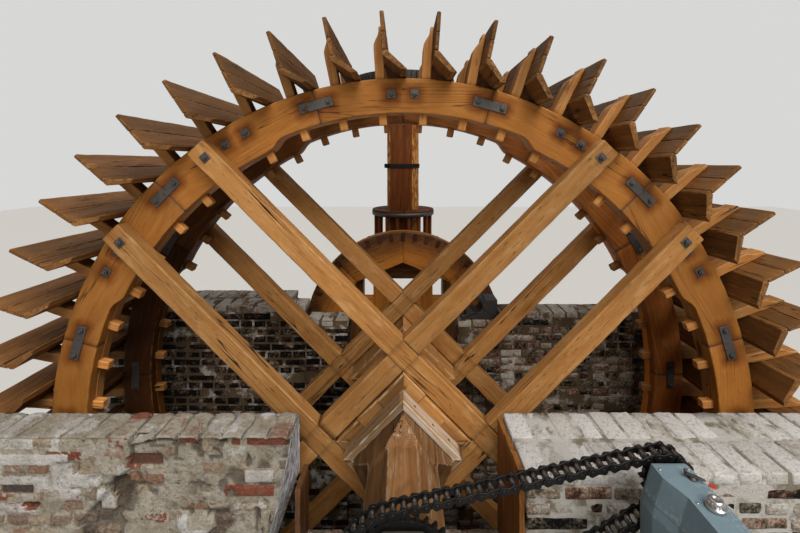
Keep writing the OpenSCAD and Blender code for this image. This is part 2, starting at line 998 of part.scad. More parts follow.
module wallower_discs() {
    color(dark) placed() at_upright()
        for (z = [low_disc_top - disc_t, wallower_top - disc_t])
            translate([0, 0, z])
                difference() {
                    cylinder(r = disc_r, h = disc_t);
                    translate([0, 0, -1])
                        linear_extrude(disc_t + 2)
                            shaft_outline(fit);
                    for (k = [0:staves - 1])
                        rotate(360 / staves * (k + 0.5))
                            translate([wallower_r, 0, -1])
                                cylinder(d = stave_d + 2 * fit, h = disc_t + 2, $fn = 24);
                }
}

module wallower_staves() {
    color(orange) placed() at_upright()
        for (k = [0:staves - 1])
            rotate(360 / staves * (k + 0.5) - 90)
                translate([wallower_r, 0, low_disc_top - disc_t - 4])
                    cylinder(d = stave_d, h = stave_h + 2 * disc_t + 8, $fn = 24);
}

module crown_gear() {
    teeth = 72;
    rim_h = 110;
    rim_out_r = crown_r - 30;
    rim_in_r = rim_out_r - 74;
    hub_r = shaft_af / 2 + 78;
    color(iron) placed() at_upright()
        translate([0, 0, crown_z]) {
            difference() {
                union() {
                    cylinder(r = rim_out_r, h = rim_h);
                    for (k = [0:teeth - 1])
                        rotate(360 / teeth * k)
                            translate([rim_out_r - 4, -11, 0])
                                cube([34, 22, rim_h - 10]);
                }
                translate([0, 0, -1])
                    cylinder(r = rim_in_r, h = rim_h + 2);
            }
            for (k = [0:5])
                rotate(60 * k)
                    translate([hub_r + fit, -26, 15])
                        cube([sqrt(pow(rim_in_r - fit, 2) - 26 * 26) - hub_r - fit, 52, 80]);
            difference() {
                cylinder(r = hub_r, h = rim_h);
                translate([0, 0, -1])
                    linear_extrude(rim_h + 2)
                        shaft_outline(fit);
            }
        }
}

front_wall_left();
front_wall_right();
front_sill();
gap_lining();
rear_wall_left();
rear_wall_right();
rear_sill();
front_pier();
tail_pier();
front_bearing();
rear_bearing();
bridge_posts();
bridge_beam();
footstep_bearing();
old_bearing();
housing_base();
drive_housing();
housing_cap();
housing_latch();
motor_shaft();
motor_sprocket();
drive_chain();
axle();
axle_gudgeons();
axle_hoops();
axle_sprocket();
hub_wedges();
hub_battens();
front_rim_outer();
front_rim_inner();
rear_rim_inner();
rear_rim_outer();
front_arms_down();
front_arms_up();
rear_arms_down();
rear_arms_up();
rim_straps();
front_starts();
rear_starts();
float_outer_boards();
float_inner_boards();
float_kick_boards();
pit_wheel_cants();
pit_wheel_ring();
pit_wheel_arms();
pit_wheel_cogs();
upright_shaft();
shaft_hoops();
wallower_discs();
wallower_staves();
crown_gear();
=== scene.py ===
import bpy
import math
import random
import numpy as np
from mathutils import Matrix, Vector


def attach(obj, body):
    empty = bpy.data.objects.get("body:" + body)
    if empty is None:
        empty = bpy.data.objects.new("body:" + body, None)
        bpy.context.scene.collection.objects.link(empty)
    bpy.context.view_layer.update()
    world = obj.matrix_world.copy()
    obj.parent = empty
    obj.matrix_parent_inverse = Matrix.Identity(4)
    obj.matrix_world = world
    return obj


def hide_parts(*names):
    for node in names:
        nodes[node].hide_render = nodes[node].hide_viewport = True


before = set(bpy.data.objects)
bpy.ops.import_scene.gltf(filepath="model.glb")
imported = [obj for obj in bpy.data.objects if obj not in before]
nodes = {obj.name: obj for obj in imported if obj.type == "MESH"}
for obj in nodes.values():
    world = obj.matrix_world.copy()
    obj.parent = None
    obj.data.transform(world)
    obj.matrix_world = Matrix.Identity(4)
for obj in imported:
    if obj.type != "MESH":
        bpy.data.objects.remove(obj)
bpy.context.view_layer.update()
rng = np.random.default_rng(20)
random.seed(20)

# Sizes in metres, and places counted from the middle of the waterwheel
AXLE_Z = 2.900
WHEEL_Y = -0.18811
RIM, INNER, SWELL = 2.450, 2.207, 2.151
R_IN, R_OUT, ARM_F = 0.279, 0.439, 0.549
RIM_LAYER = 0.080
TIP, KINK = 2.840, 2.590
BOARD_TIP_GAP = 0.018
FLOAT_FACE, FLOAT_BACK = 0.0333, 0.0613
START_HALF = 0.033
ARM_W, ARM_OFF, ARM_END = 0.147, 0.402, 2.412
FLOATS = 48
BOARD = 1.324
AXLE_HALF, AXLE_OCTAGON = 0.220, 0.206
PIT_F, PIT_B, PIT_R = 1.264, 1.406, 1.085
PIT_LAYER = 0.062
SHAFT_Y = 1.83323
SHAFT_H, SHAFT_WIDE, SHAFT_SLIM = 0.194, 0.083, 0.036
SHAFT_TOP = 2.960
DISC, DISC_R, STAVE_RING = 0.072, 0.385, 0.34167
WALLOWER_TOP = 1.286
LOW_DISC_TOP = WALLOWER_TOP - DISC - 0.310
SHAFT_FOOT = LOW_DISC_TOP - DISC - 0.060
BEAM_TOP = SHAFT_FOOT - 0.130
WALL = 3.150
GAP = 0.620
PIER_TOP = -0.430
# What stands between neighbours that touch on the real thing
HAIRLINE = 0.0003


# Meshes

class Part:
    """Members gathered in one mesh, each with grain coordinates and a tone (random, edge, stain_and_shade); a
    random tone beyond 0 to 1 is painted light, and stain_and_shade holds greasy stains, dark joints and
    painted shade.
    """

    def __init__(self):
        self.co, self.grain, self.tone = [], [], []
        self.quads, self.caps = [], []
        self.n = 0

    def sweep(self, sec, place, tone_edge, stain_and_shade=None, shift=None, rnd=None):
        """sec: (m, k, 3) rings in the member's own frame, x along the grain"""
        m, k, _ = sec.shape
        pts = sec.reshape(-1, 3)
        if shift is None:
            a = rng.uniform(0, 2 * math.pi)
            d = rng.uniform(0.05, 0.17)
            shift = (rng.uniform(0, 40), d * math.cos(a), d * math.sin(a))
        tone = np.zeros((m * k, 3))
        tone[:, 0] = rng.uniform() if rnd is None else rnd
        tone[:, 1] = np.tile(tone_edge, m)
        tone[:, 2] = 0.0 if stain_and_shade is None else stain_and_shade
        i = np.arange(m - 1)[:, None] * k
        j = np.arange(k)[None, :]
        jn = (j + 1) % k
        quads = np.stack([i + j, i + jn, i + k + jn, i + k + j], axis=-1).reshape(-1, 4)
        caps = [list(range((m - 1) * k, m * k)), list(range(k - 1, -1, -1))]
        self.add(pts @ place[0].T + place[1], pts + np.array(shift), tone, quads, caps)

    def add(self, co, grain, tone, quads, caps=()):
        self.co.append(co)
        self.grain.append(grain)
        self.tone.append(np.broadcast_to(tone, co.shape))
        self.quads.append(quads + self.n)
        self.caps += [[v + self.n for v in cap] for cap in caps]
        self.n += len(co)

    def make(self, name, mat, body, slot, replaces=(), smooth=True):
        quads = np.concatenate(self.quads)
        me = bpy.data.meshes.new(name)
        me.vertices.add(self.n)
        me.vertices.foreach_set("co", np.concatenate(self.co).astype(np.float32).ravel())
        totals = np.array([4] * len(quads) + [len(cap) for cap in self.caps], np.int32)
        loops = np.concatenate([quads.ravel(), *self.caps]).astype(np.int32)
        me.loops.add(len(loops))
        me.loops.foreach_set("vertex_index", loops)
        me.polygons.add(len(totals))
        me.polygons.foreach_set("loop_start", np.concatenate([[0], np.cumsum(totals)[:-1]]).astype(np.int32))
        me.update(calc_edges=True)
        me.polygons.foreach_set("use_smooth", np.arange(len(totals)) < len(quads) * smooth)
        for key, rows in (("grain", self.grain), ("tone", self.tone)):
            a = me.attributes.new(key, "FLOAT_VECTOR", "POINT")
            a.data.foreach_set("vector", np.concatenate(rows).astype(np.float32).ravel())
        me.validate()
        ob = bpy.data.objects.new(name, me)
        bpy.context.scene.collection.objects.link(ob)
        me.materials.append(mat)
        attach(ob, body)
        if replaces:
            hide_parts(*replaces)
        return ob


def ring(c, bevel, tone_reach=None):
    """(m, n, 2) polygon corners -> (m, 4n, 2) rings with rounded corners, and the edge tone of one ring"""
    m, n, _ = c.shape
    b = np.broadcast_to(np.asarray(bevel, float), (m, n))
    s = b + 0.006 if tone_reach is None else np.full((m, n), tone_reach)
    to_last = np.roll(c, 1, axis=1) - c
    to_next = np.roll(c, -1, axis=1) - c
    last_len = np.linalg.norm(to_last, axis=2)
    next_len = np.linalg.norm(to_next, axis=2)
    up = to_last / np.maximum(last_len, 1e-9)[..., None]
    un = to_next / np.maximum(next_len, 1e-9)[..., None]
    out = np.stack([c + up * np.minimum(s, last_len * 0.42)[..., None],
                    c + up * np.minimum(b, last_len * 0.3)[..., None] * 0.9,
                    c + un * np.minimum(b, next_len * 0.3)[..., None] * 0.9,
                    c + un * np.minimum(s, next_len * 0.42)[..., None]], axis=2)
    return out.reshape(m, 4 * n, 2), np.tile([0.25, 1.0, 1.0, 0.25], n)


def wobble(x, n, amp):
    """(len(x), n, 2) slow irregular offsets along a member, as an adze and wear leave them"""
    out = np.zeros((len(x), n, 2))
    for wave, share in ((0.9, 1.0), (0.37, 0.6), (0.16, 0.4)):
        phase = rng.uniform(0, 2 * math.pi, (1, n, 2))
        out += share * np.sin(2 * math.pi * np.asarray(x)[:, None, None] / wave + phase)
    return out * amp * 0.5


def with_ends(x, bevel):
    """the stations x, with one more just inside each end"""
    return np.concatenate([[x[0]], [x[0] + bevel], x[1:-1], [x[-1] - bevel], [x[-1]]])


def stations(x0, x1, step, bevel):
    return with_ends(np.linspace(x0, x1, max(2, int(round((x1 - x0) / step)) + 1)), bevel)


def shrink_ends(c, bevel):
    """pulls the first and last polygons in by the bevel, so that the ends are rounded over"""
    for i in (0, -1):
        mid = c[i].mean(axis=0)
        d = c[i] - mid
        c[i] = mid + d * (1 - bevel / np.maximum(np.abs(d), bevel * 2.5))
    return c


def worn(x, c, amp, shrink, bevel, least=0.6, more=0.9, middle=None):
    """rounded rings of the polygons c, worn inwards unevenly; least and more vary the bevel"""
    n = c.shape[1]
    middle = c.mean(axis=1, keepdims=True) if middle is None else middle
    c = c - np.abs(wobble(x, n, amp)) * np.sign(c - middle)
    if shrink:
        c = shrink_ends(c, shrink)
    return ring(c, bevel * (least + more * rng.random((len(x), n))))


def straight(x, r):
    """the rings r set along x"""
    return np.concatenate([np.broadcast_to(x[:, None, None], (*r.shape[:2], 1)), r], axis=2)


def bent(angle, r):
    """the rings r set round an arc about the frame's origin"""
    f = angle[:, None]
    return np.stack([r[:, :, 1] * np.sin(f), r[:, :, 0], r[:, :, 1] * np.cos(f)], axis=2)


def squared(y0, y1, z0, z1):
    """the corners of a squared timber's section"""
    return [[y1, z0], [y1, z1], [y0, z1], [y0, z0]]


def beam(part, place, x0, x1, section, amp=0.0012, bevel=0.004, step=0.09, stain_and_shade=None, rnd=None):
    """a squared timber with worn edges; section is (y0, y1, z0, z1), or gives it at each x"""
    x = stations(x0, x1, step, bevel)
    c = np.array([squared(*(section(xi) if callable(section) else section)) for xi in x], float)
    r, edge = worn(x, c, amp, bevel, bevel)
    marks = None if stain_and_shade is None else np.repeat([stain_and_shade(xi) for xi in x], r.shape[1])
    part.sweep(straight(x, r), place, edge, marks, None, rnd)


def from_wheel(x, y, z):
    return np.array([x, y + WHEEL_Y, z + AXLE_Z])


def frame_radial(th):
    """grain outward along the radius; y along the axle; z counter-clockwise"""
    c, s = math.cos(th), math.sin(th)
    return np.array([[c, 0, -s], [0, 1, 0], [s, 0, c]]), from_wheel(0, 0, 0)


def frame_tangent(th):
    """x clockwise along the rim, y along the axle, z outward"""
    c, s = math.cos(th), math.sin(th)
    return np.array([[s, 0, c], [0, 1, 0], [-c, 0, s]]), from_wheel(0, 0, 0)


def frame_axial(th):
    """grain along the axle; y outward; z clockwise"""
    c, s = math.cos(th), math.sin(th)
    return np.array([[0, c, s], [1, 0, 0], [0, s, -c]]), from_wheel(0, 0, 0)


def frame_up(x, y, turn=0.0):
    """grain upwards; y to the right and z backwards, turned about the upright"""
    c, s = math.cos(turn), math.sin(turn)
    return np.array([[0, c, -s], [0, s, c], [1, 0, 0]]), from_wheel(x, y, 0)


def frame_along_x(x, y, z):
    return np.eye(3), from_wheel(x, y, z)


def frame_along_y():
    """grain along the axle; y upwards; z to the right"""
    return np.array([[0, 0, 1], [1, 0, 0], [0, 1, 0]], float), from_wheel(0, 0, 0)


def frame_face(th, side, at=(0, 0, 0)):
    """x outward from that face of the wheel; y outward from the axle"""
    c, s = math.cos(th), math.sin(th)
    if side < 0:
        return np.array([[0, c, -s], [-1, 0, 0], [0, s, c]]), from_wheel(*at)
    return np.array([[0, c, s], [1, 0, 0], [0, s, -c]]), from_wheel(*at)


# Materials

class Graph:
    """A material's node tree, with short calls for the nodes in use."""

    def __init__(self, name):
        self.mat = bpy.data.materials.new(name)
        self.mat.use_nodes = True
        self.t = self.mat.node_tree
        self.t.nodes.clear()
        out = self.t.nodes.new("ShaderNodeOutputMaterial")
        self.bsdf = self.t.nodes.new("ShaderNodeBsdfPrincipled")
        self.t.links.new(self.bsdf.outputs[0], out.inputs[0])

    def put(self, socket, v):
        if isinstance(v, bpy.types.NodeSocket):
            self.t.links.new(v, socket)
        elif v is not None:
            is_color = hasattr(socket.default_value, "__len__") and len(socket.default_value) == 4
            socket.default_value = (*v, 1.0) if is_color and len(v) == 3 else v

    def node(self, kind, inputs, **settings):
        n = self.t.nodes.new("ShaderNode" + kind)
        for key, v in settings.items():
            setattr(n, key, v)
        for key, v in inputs.items():
            self.put(n.inputs[key], v)
        return n

    def math(self, op, a, b=None, c=None, clamp=False):
        return self.node("Math", {0: a, 1: b, 2: c}, operation=op, use_clamp=clamp).outputs[0]

    def add(self, a, b):
        return self.math("ADD", a, b)

    def sub(self, a, b):
        return self.math("SUBTRACT", a, b)

    def mul(self, a, b, clamp=False):
        return self.math("MULTIPLY", a, b, None, clamp)

    def line(self, a, slope, start):
        return self.math("MULTIPLY_ADD", a, slope, start)

    def about(self, a, much):
        """how far a lies from one half, times much"""
        return self.mul(self.sub(a, 0.5), much)

    def stretch(self, v, by):
        return self.node("VectorMath", {0: v, 1: by}, operation="MULTIPLY").outputs[0]

    def shift(self, v, by):
        return self.node("VectorMath", {0: v, 1: by}, operation="ADD").outputs[0]

    def scale(self, v, by):
        return self.node("VectorMath", {0: v, "Scale": by}, operation="SCALE").outputs[0]

    def attr(self, name):
        return self.node("Attribute", {}, attribute_name=name).outputs["Vector"]

    def obj(self):
        return self.node("TexCoord", {}).outputs["Object"]

    def xyz(self, v):
        return self.node("SeparateXYZ", {0: v}).outputs[0:3]

    def vec(self, x, y, z):
        return self.node("CombineXYZ", {0: x, 1: y, 2: z}).outputs[0]

    def noise(self, vec, scale=1.0, detail=2.0, rough=0.5, color=False):
        n = self.node("TexNoise", {"Vector": vec, "Scale": scale, "Detail": detail, "Roughness": rough})
        return n.outputs["Color"] if color else n.outputs[0]

    def voronoi(self, vec, scale=1.0):
        return self.node("TexVoronoi", {"Vector": vec, "Scale": scale})

    def step(self, x, lo, hi):
        """0 below lo and 1 above hi, smooth between; where lo is the larger, 1 below hi and 0 above lo"""
        ends = {"Value": x, "From Min": min(lo, hi), "From Max": max(lo, hi)}
        if lo > hi:
            ends.update({"To Min": 1.0, "To Max": 0.0})
        return self.node("MapRange", ends, interpolation_type="SMOOTHSTEP").outputs[0]

    def mix(self, f, a, b, mode="MIX"):
        return self.node("Mix", {0: f, 6: a, 7: b}, data_type="RGBA", blend_type=mode).outputs[2]

    def over(self, col, other, much, x, lo, hi):
        """col, with the other colour laid over it where x steps from lo to hi"""
        return self.mix(self.mul(self.step(x, lo, hi), much), col, other)

    def ramp(self, f, stops):
        n = self.node("ValToRGB", {0: f})
        e = n.color_ramp.elements
        while len(e) > 1:
            e.remove(e[-1])
        e[0].position = stops[0][0]
        e[0].color = (*stops[0][1], 1)
        for place, col in stops[1:]:
            e.new(place).color = (*col, 1)
        return n.outputs[0]

    def bump(self, height, distance):
        return self.node("Bump", {"Strength": 1.0, "Distance": distance, "Height": height}).outputs[0]

    def finish(self, color, rough, normal=None, **more):
        inputs = {"Base Color": color, "Roughness": rough, "Normal": normal}
        for key, v in more.items():
            inputs[key.replace("_", " ")] = v
        for key, v in inputs.items():
            self.put(self.bsdf.inputs[key], v)
        return self.mat


def iron_stain(g, grain, marks):
    """how far each point lies from the irons; marks: first angle, half arc, half height, radius"""
    x, _, z = g.xyz(g.obj())
    z = g.sub(z, AXLE_Z)
    angle = g.mul(g.math("ARCTAN2", z, x), 180 / math.pi)
    radius = g.math("SQRT", g.add(g.mul(x, x), g.mul(z, z)))
    nearest = None
    for first, half_arc, half_high, at in marks:
        a = g.sub(g.math("WRAP", g.sub(angle, first), 15.0, -15.0), 0.0)
        arc = g.mul(g.math("ABSOLUTE", a), at * math.pi / 180)
        du = g.math("MAXIMUM", g.sub(arc, half_arc), 0.0)
        dr = g.math("MAXIMUM", g.sub(g.math("ABSOLUTE", g.sub(radius, at)), half_high), 0.0)
        d = g.math("SQRT", g.add(g.mul(du, du), g.mul(dr, dr)))
        d = g.add(d, g.about(g.noise(g.stretch(grain, (7, 18, 18)), 1, 3, 0.6), 0.06))
        nearest = d if nearest is None else g.math("MINIMUM", nearest, d)
    return nearest


def wood(name, light, dark, deep, pale=(0.50, 0.40, 0.30), ring_w=0.007, checks=1.0, pale_edge=0.35,
         weather=0.0, iron_marks=None, streaks=1.0, ring_mix=0.34, mottles=0.6,
         warm=(0.300, 0.095, 0.012), flecks=0.25):
    g = Graph(name)
    gr = g.attr("grain")
    rnd, edge, stain_and_shade = g.xyz(g.attr("tone"))

    def grainy(along, across, detail, rough):
        return g.noise(g.stretch(gr, (along, across, across)), 1, detail, rough)

    warp = g.noise(g.stretch(gr, (0.9, 5.0, 5.0)), 1, 2, 0.5, True)
    warp = g.node("VectorMath", {0: warp, 1: (0.5, 0.5, 0.5)}, operation="SUBTRACT").outputs[0]
    p = g.shift(gr, g.stretch(g.scale(warp, 0.045), (0, 1, 1)))
    # knots
    cell = g.voronoi(g.stretch(gr, (1.5, 5.0, 5.0)))
    from_knot = cell.outputs["Distance"]
    chosen = g.math("GREATER_THAN", g.xyz(cell.outputs["Color"])[0], 1.0 - 0.42)
    near = g.mul(g.step(from_knot, 0.42, 0.0), chosen)
    knot = g.mul(g.step(from_knot, 0.115, 0.07), chosen)
    halo = g.mul(g.step(from_knot, 0.24, 0.09), chosen)
    # year rings round the grain's axis
    _, y, z = g.xyz(p)
    r = g.node("VectorMath", {0: g.vec(0, y, z)}, operation="LENGTH").outputs["Value"]
    r = g.add(r, g.mul(near, 0.022))
    late = g.math("SINE", g.mul(r, 2 * math.pi / ring_w))
    late = g.math("POWER", g.line(late, 0.5, 0.5), 2.5)
    streak = g.noise(g.stretch(p, (0.8, 34, 34)), 1, 4, 0.6)
    fibre = grainy(9, 480, 2, 0.6)
    # drying cracks
    crack = g.math("ABSOLUTE", g.sub(g.noise(g.stretch(p, (0.75, 26, 26)), 1, 1.5, 0.4), 0.5))
    crack = g.mul(g.step(crack, 0.014, 0.003), g.step(grainy(0.9, 5, 1, 0.5), 0.50, 0.60))
    crack = g.mul(crack, checks, clamp=True)
    col = g.mix(g.mul(late, ring_mix), light, dark)
    col = g.over(col, dark, 0.42 * streaks, streak, 0.42, 0.72)
    col = g.over(col, pale, 0.16 * streaks, streak, 0.46, 0.25)
    col = g.over(col, g.mix(0.5, col, deep), 0.6, grainy(1.6, 6, 3, 0.6), 0.46, 0.72)
    mottle = grainy(4.5, 17, 3, 0.65)
    col = g.over(col, warm, 0.42 * mottles, mottle, 0.50, 0.70)
    col = g.over(col, pale, 0.30 * mottles, mottle, 0.46, 0.30)
    col = g.over(col, deep, flecks, grainy(11, 60, 4, 0.7), 0.585, 0.70)
    # each member's own tint; a tone above 1 is paler and one below 0 darker and warmer, which paints light
    # and shade on the faces of the axle and the hub, on the rear rim and on the starts
    under = g.math("MAXIMUM", g.mul(rnd, -1.0), 0.0)
    tint = g.vec(g.line(rnd, 0.44, 0.76), g.sub(g.line(rnd, 0.38, 0.79), g.mul(under, 0.14)),
                 g.sub(g.line(rnd, 0.30, 0.82), g.mul(under, 0.30)))
    col = g.mix(1.0, col, tint, "MULTIPLY")
    fibre_tone = g.line(fibre, 0.7, 0.65)
    col = g.mix(0.8, col, g.vec(fibre_tone, fibre_tone, fibre_tone), "MULTIPLY")
    col = g.mix(g.mul(halo, 0.45), col, dark)
    col = g.mix(g.mul(knot, 0.85), col, deep)
    if weather:
        # pale weathered patches, more where the tone is higher; where the tone carries painted light, this
        # paints the lit faces paler
        bleached_and_painted_light = g.step(grainy(2.2, 30, 4, 0.65), 0.62 - 0.3 * weather, 0.75 - 0.15 * weather)
        col = g.mix(g.mul(g.mul(bleached_and_painted_light, g.step(rnd, -0.45, 0.75)), 0.85), col, pale)
    worn_edge = g.mul(g.step(edge, 0.30, 0.95), g.step(grainy(14, 40, 3, 0.6), 0.40, 0.62))
    col = g.mix(g.mul(worn_edge, pale_edge), col, pale)
    # dark where the tone's third value is set: greasy wood and dark joints, and painted shade along the
    # shoulders of the arms' laps
    grease_and_shade = g.mul(g.step(stain_and_shade, 0.05, 0.9), g.line(grainy(12, 40, 3, 0.6), 0.9, 0.35), clamp=True)
    col = g.mix(grease_and_shade, col, (0.022, 0.011, 0.006))
    if iron_marks:
        marks = iron_stain(g, gr, iron_marks)
        col = g.over(col, (0.150, 0.036, 0.004), 0.72, marks, 0.075, 0.008)
        col = g.over(col, (0.040, 0.014, 0.005), 0.55, marks, 0.020, -0.006)
    col = g.mix(crack, col, (0.018, 0.010, 0.006))
    h = g.add(g.mul(fibre, 0.25), g.mul(late, 0.22))
    h = g.sub(h, g.mul(crack, 1.6))
    h = g.sub(h, g.mul(knot, 0.25))
    h = g.add(h, g.mul(streak, 0.4))
    rough = g.sub(g.line(streak, 0.25, 0.45), g.mul(grease_and_shade, 0.22))
    return g.finish(col, rough, g.bump(h, 0.0016), Specular_IOR_Level=g.line(grease_and_shade, 0.35, 0.14))


def iron(name, base, rust=(0.120, 0.045, 0.018), rusty=0.4, rough=0.55, metal=0.75, scale=1.0,
         worn_col=(0.28, 0.27, 0.26)):
    g = Graph(name)
    o = g.obj()
    a = g.noise(o, 14 * scale, 5, 0.62)
    b = g.noise(o, 90 * scale, 3, 0.6)
    c = g.noise(o, 420 * scale, 2, 0.5)
    mask = g.add(g.mul(a, 0.7), g.mul(b, 0.3))
    mask = g.step(mask, 0.62 - 0.25 * rusty, 0.72 - 0.15 * rusty)
    col = g.mix(g.mul(a, 0.8), base, tuple(x * 2.2 for x in base))
    col = g.mix(g.mul(mask, 0.85), col, rust)
    col = g.over(col, worn_col, 0.25, b, 0.60, 0.72)
    h = g.add(g.mul(b, 0.6), g.add(g.mul(c, 0.25), g.mul(mask, 0.5)))
    return g.finish(col, g.line(b, 0.2, g.line(mask, 0.25, rough - 0.08)), g.bump(h, 0.0008), Metallic=metal)


def paint(name, base, edge_col, rough):
    g = Graph(name)
    o = g.obj()
    edge = g.xyz(g.attr("tone"))[1]
    a = g.noise(o, 5, 5, 0.6)
    b = g.noise(o, 60, 4, 0.6)
    c = g.noise(o, 900, 2, 0.5)
    col = g.mix(g.step(a, 0.35, 0.7), tuple(x * 0.84 for x in base), base)
    col = g.over(col, tuple(x * 0.55 for x in base), 0.22, b, 0.56, 0.72)
    rubbed = g.mul(g.step(edge, 0.5, 1.0), g.step(b, 0.50, 0.60))
    col = g.mix(g.mul(rubbed, 0.55), col, edge_col)
    h = g.add(g.mul(c, 0.25), a)
    return g.finish(col, g.line(b, 0.25, rough - 0.08), g.bump(h, 0.0006), Specular_IOR_Level=0.25)


# The colours of single bricks, from the share of bricks below each
BRICK_STOPS = [(0.0, (0.235, 0.072, 0.044)), (0.14, (0.290, 0.110, 0.068)), (0.28, (0.290, 0.155, 0.105)),
               (0.44, (0.400, 0.245, 0.160)), (0.60, (0.430, 0.330, 0.215)), (0.74, (0.300, 0.245, 0.185)),
               (0.88, (0.420, 0.200, 0.120)), (0.96, (0.075, 0.066, 0.068))]
RUBBLE_STOPS = [(0.0, (0.240, 0.070, 0.042)), (0.20, (0.300, 0.110, 0.070)), (0.34, (0.330, 0.185, 0.125)),
                (0.50, (0.330, 0.240, 0.180)), (0.64, (0.450, 0.380, 0.280)), (0.80, (0.280, 0.235, 0.190)),
                (0.92, (0.270, 0.175, 0.145)), (0.98, (0.050, 0.052, 0.056))]


def brick_colours(name):
    """tone: the brick's own colour, the lime on it, and where mortar sticks"""
    g = Graph(name)
    o = g.obj()
    rnd, lime, kind = g.xyz(g.attr("tone"))
    body = g.ramp(rnd, BRICK_STOPS)
    n1 = g.noise(o, 9, 6, 0.68)
    n2 = g.noise(o, 55, 5, 0.65)
    n3 = g.noise(o, 240, 3, 0.6)
    pits = g.step(g.noise(o, 120, 3, 0.65), 0.60, 0.68)
    pock = g.shift(o, g.scale(g.noise(o, 30, 2, 0.5, True), 0.03))
    pock = g.step(g.voronoi(pock, 42).outputs["Distance"], 0.20, 0.08)
    pock = g.mul(pock, g.step(n1, 0.46, 0.60))
    col = g.mix(g.step(n2, 0.35, 0.70), g.mix(1.0, body, (0.62, 0.60, 0.58), "MULTIPLY"), body)
    col = g.over(col, (0.30, 0.22, 0.15), 0.35, n1, 0.5, 0.7)
    smear = g.add(g.add(g.mul(n1, 0.62), g.mul(n2, 0.38)), g.mul(lime, 0.46))
    limed = g.step(smear, 0.66, 0.78)
    white = g.mix(g.step(n2, 0.40, 0.66), (0.370, 0.345, 0.315), (0.590, 0.590, 0.590))
    white = g.mix(g.step(n1, 0.52, 0.66), white, (0.450, 0.445, 0.440))
    white = g.mix(g.mul(g.step(lime, 0.80, 1.15), g.step(n2, 0.30, 0.50)), white, (0.690, 0.710, 0.730))
    col = g.mix(g.mul(limed, 0.93), col, white)
    film = g.step(smear, 0.50, 0.74)
    col = g.mix(g.mul(film, 0.30), col, (0.42, 0.37, 0.30))
    mortar = g.add(g.noise(g.shift(o, (3.1, 1.7, 0.4)), 6, 5, 0.7), g.mul(kind, 0.2))
    mortar = g.mul(g.step(mortar, 0.60, 0.68), g.step(lime, 1.15, 0.80))
    col = g.mix(g.mul(mortar, 0.8), col, (0.270, 0.240, 0.180))
    col = g.mix(g.mul(pits, 0.62), col, (0.075, 0.060, 0.045))
    col = g.mix(g.mul(pock, 0.6), col, (0.10, 0.07, 0.05))
    # bare brick is sooty
    col = g.mix(1.0, col, film, "MULTIPLY")
    h = g.add(n2, g.mul(n3, 0.35))
    h = g.add(h, g.mul(limed, 0.35))
    h = g.sub(h, g.mul(pits, 0.55))
    h = g.sub(h, g.mul(pock, 0.6))
    return g.finish(col, 0.92, g.bump(h, 0.0055), Specular_IOR_Level=0.25)


def mortar_colours(name, tint):
    g = Graph(name)
    o = g.obj()
    lime = g.xyz(g.attr("tone"))[1]
    n1 = g.noise(o, 8, 5, 0.65)
    n2 = g.noise(o, 60, 5, 0.65)
    n3 = g.noise(o, 260, 3, 0.6)
    col = g.mix(g.step(n1, 0.38, 0.66), tuple(x * 0.62 for x in tint), tint)
    col = g.over(col, (0.54, 0.53, 0.51), 0.85, g.add(n1, g.mul(lime, 0.35)), 0.62, 0.78)
    grit = g.step(g.noise(o, 170, 3, 0.6), 0.60, 0.70)
    col = g.mix(g.mul(grit, 0.45), col, (0.11, 0.09, 0.07))
    h = g.add(n2, g.sub(g.mul(n3, 0.5), g.mul(grit, 0.4)))
    return g.finish(col, 0.95, g.bump(h, 0.006), Specular_IOR_Level=0.2)


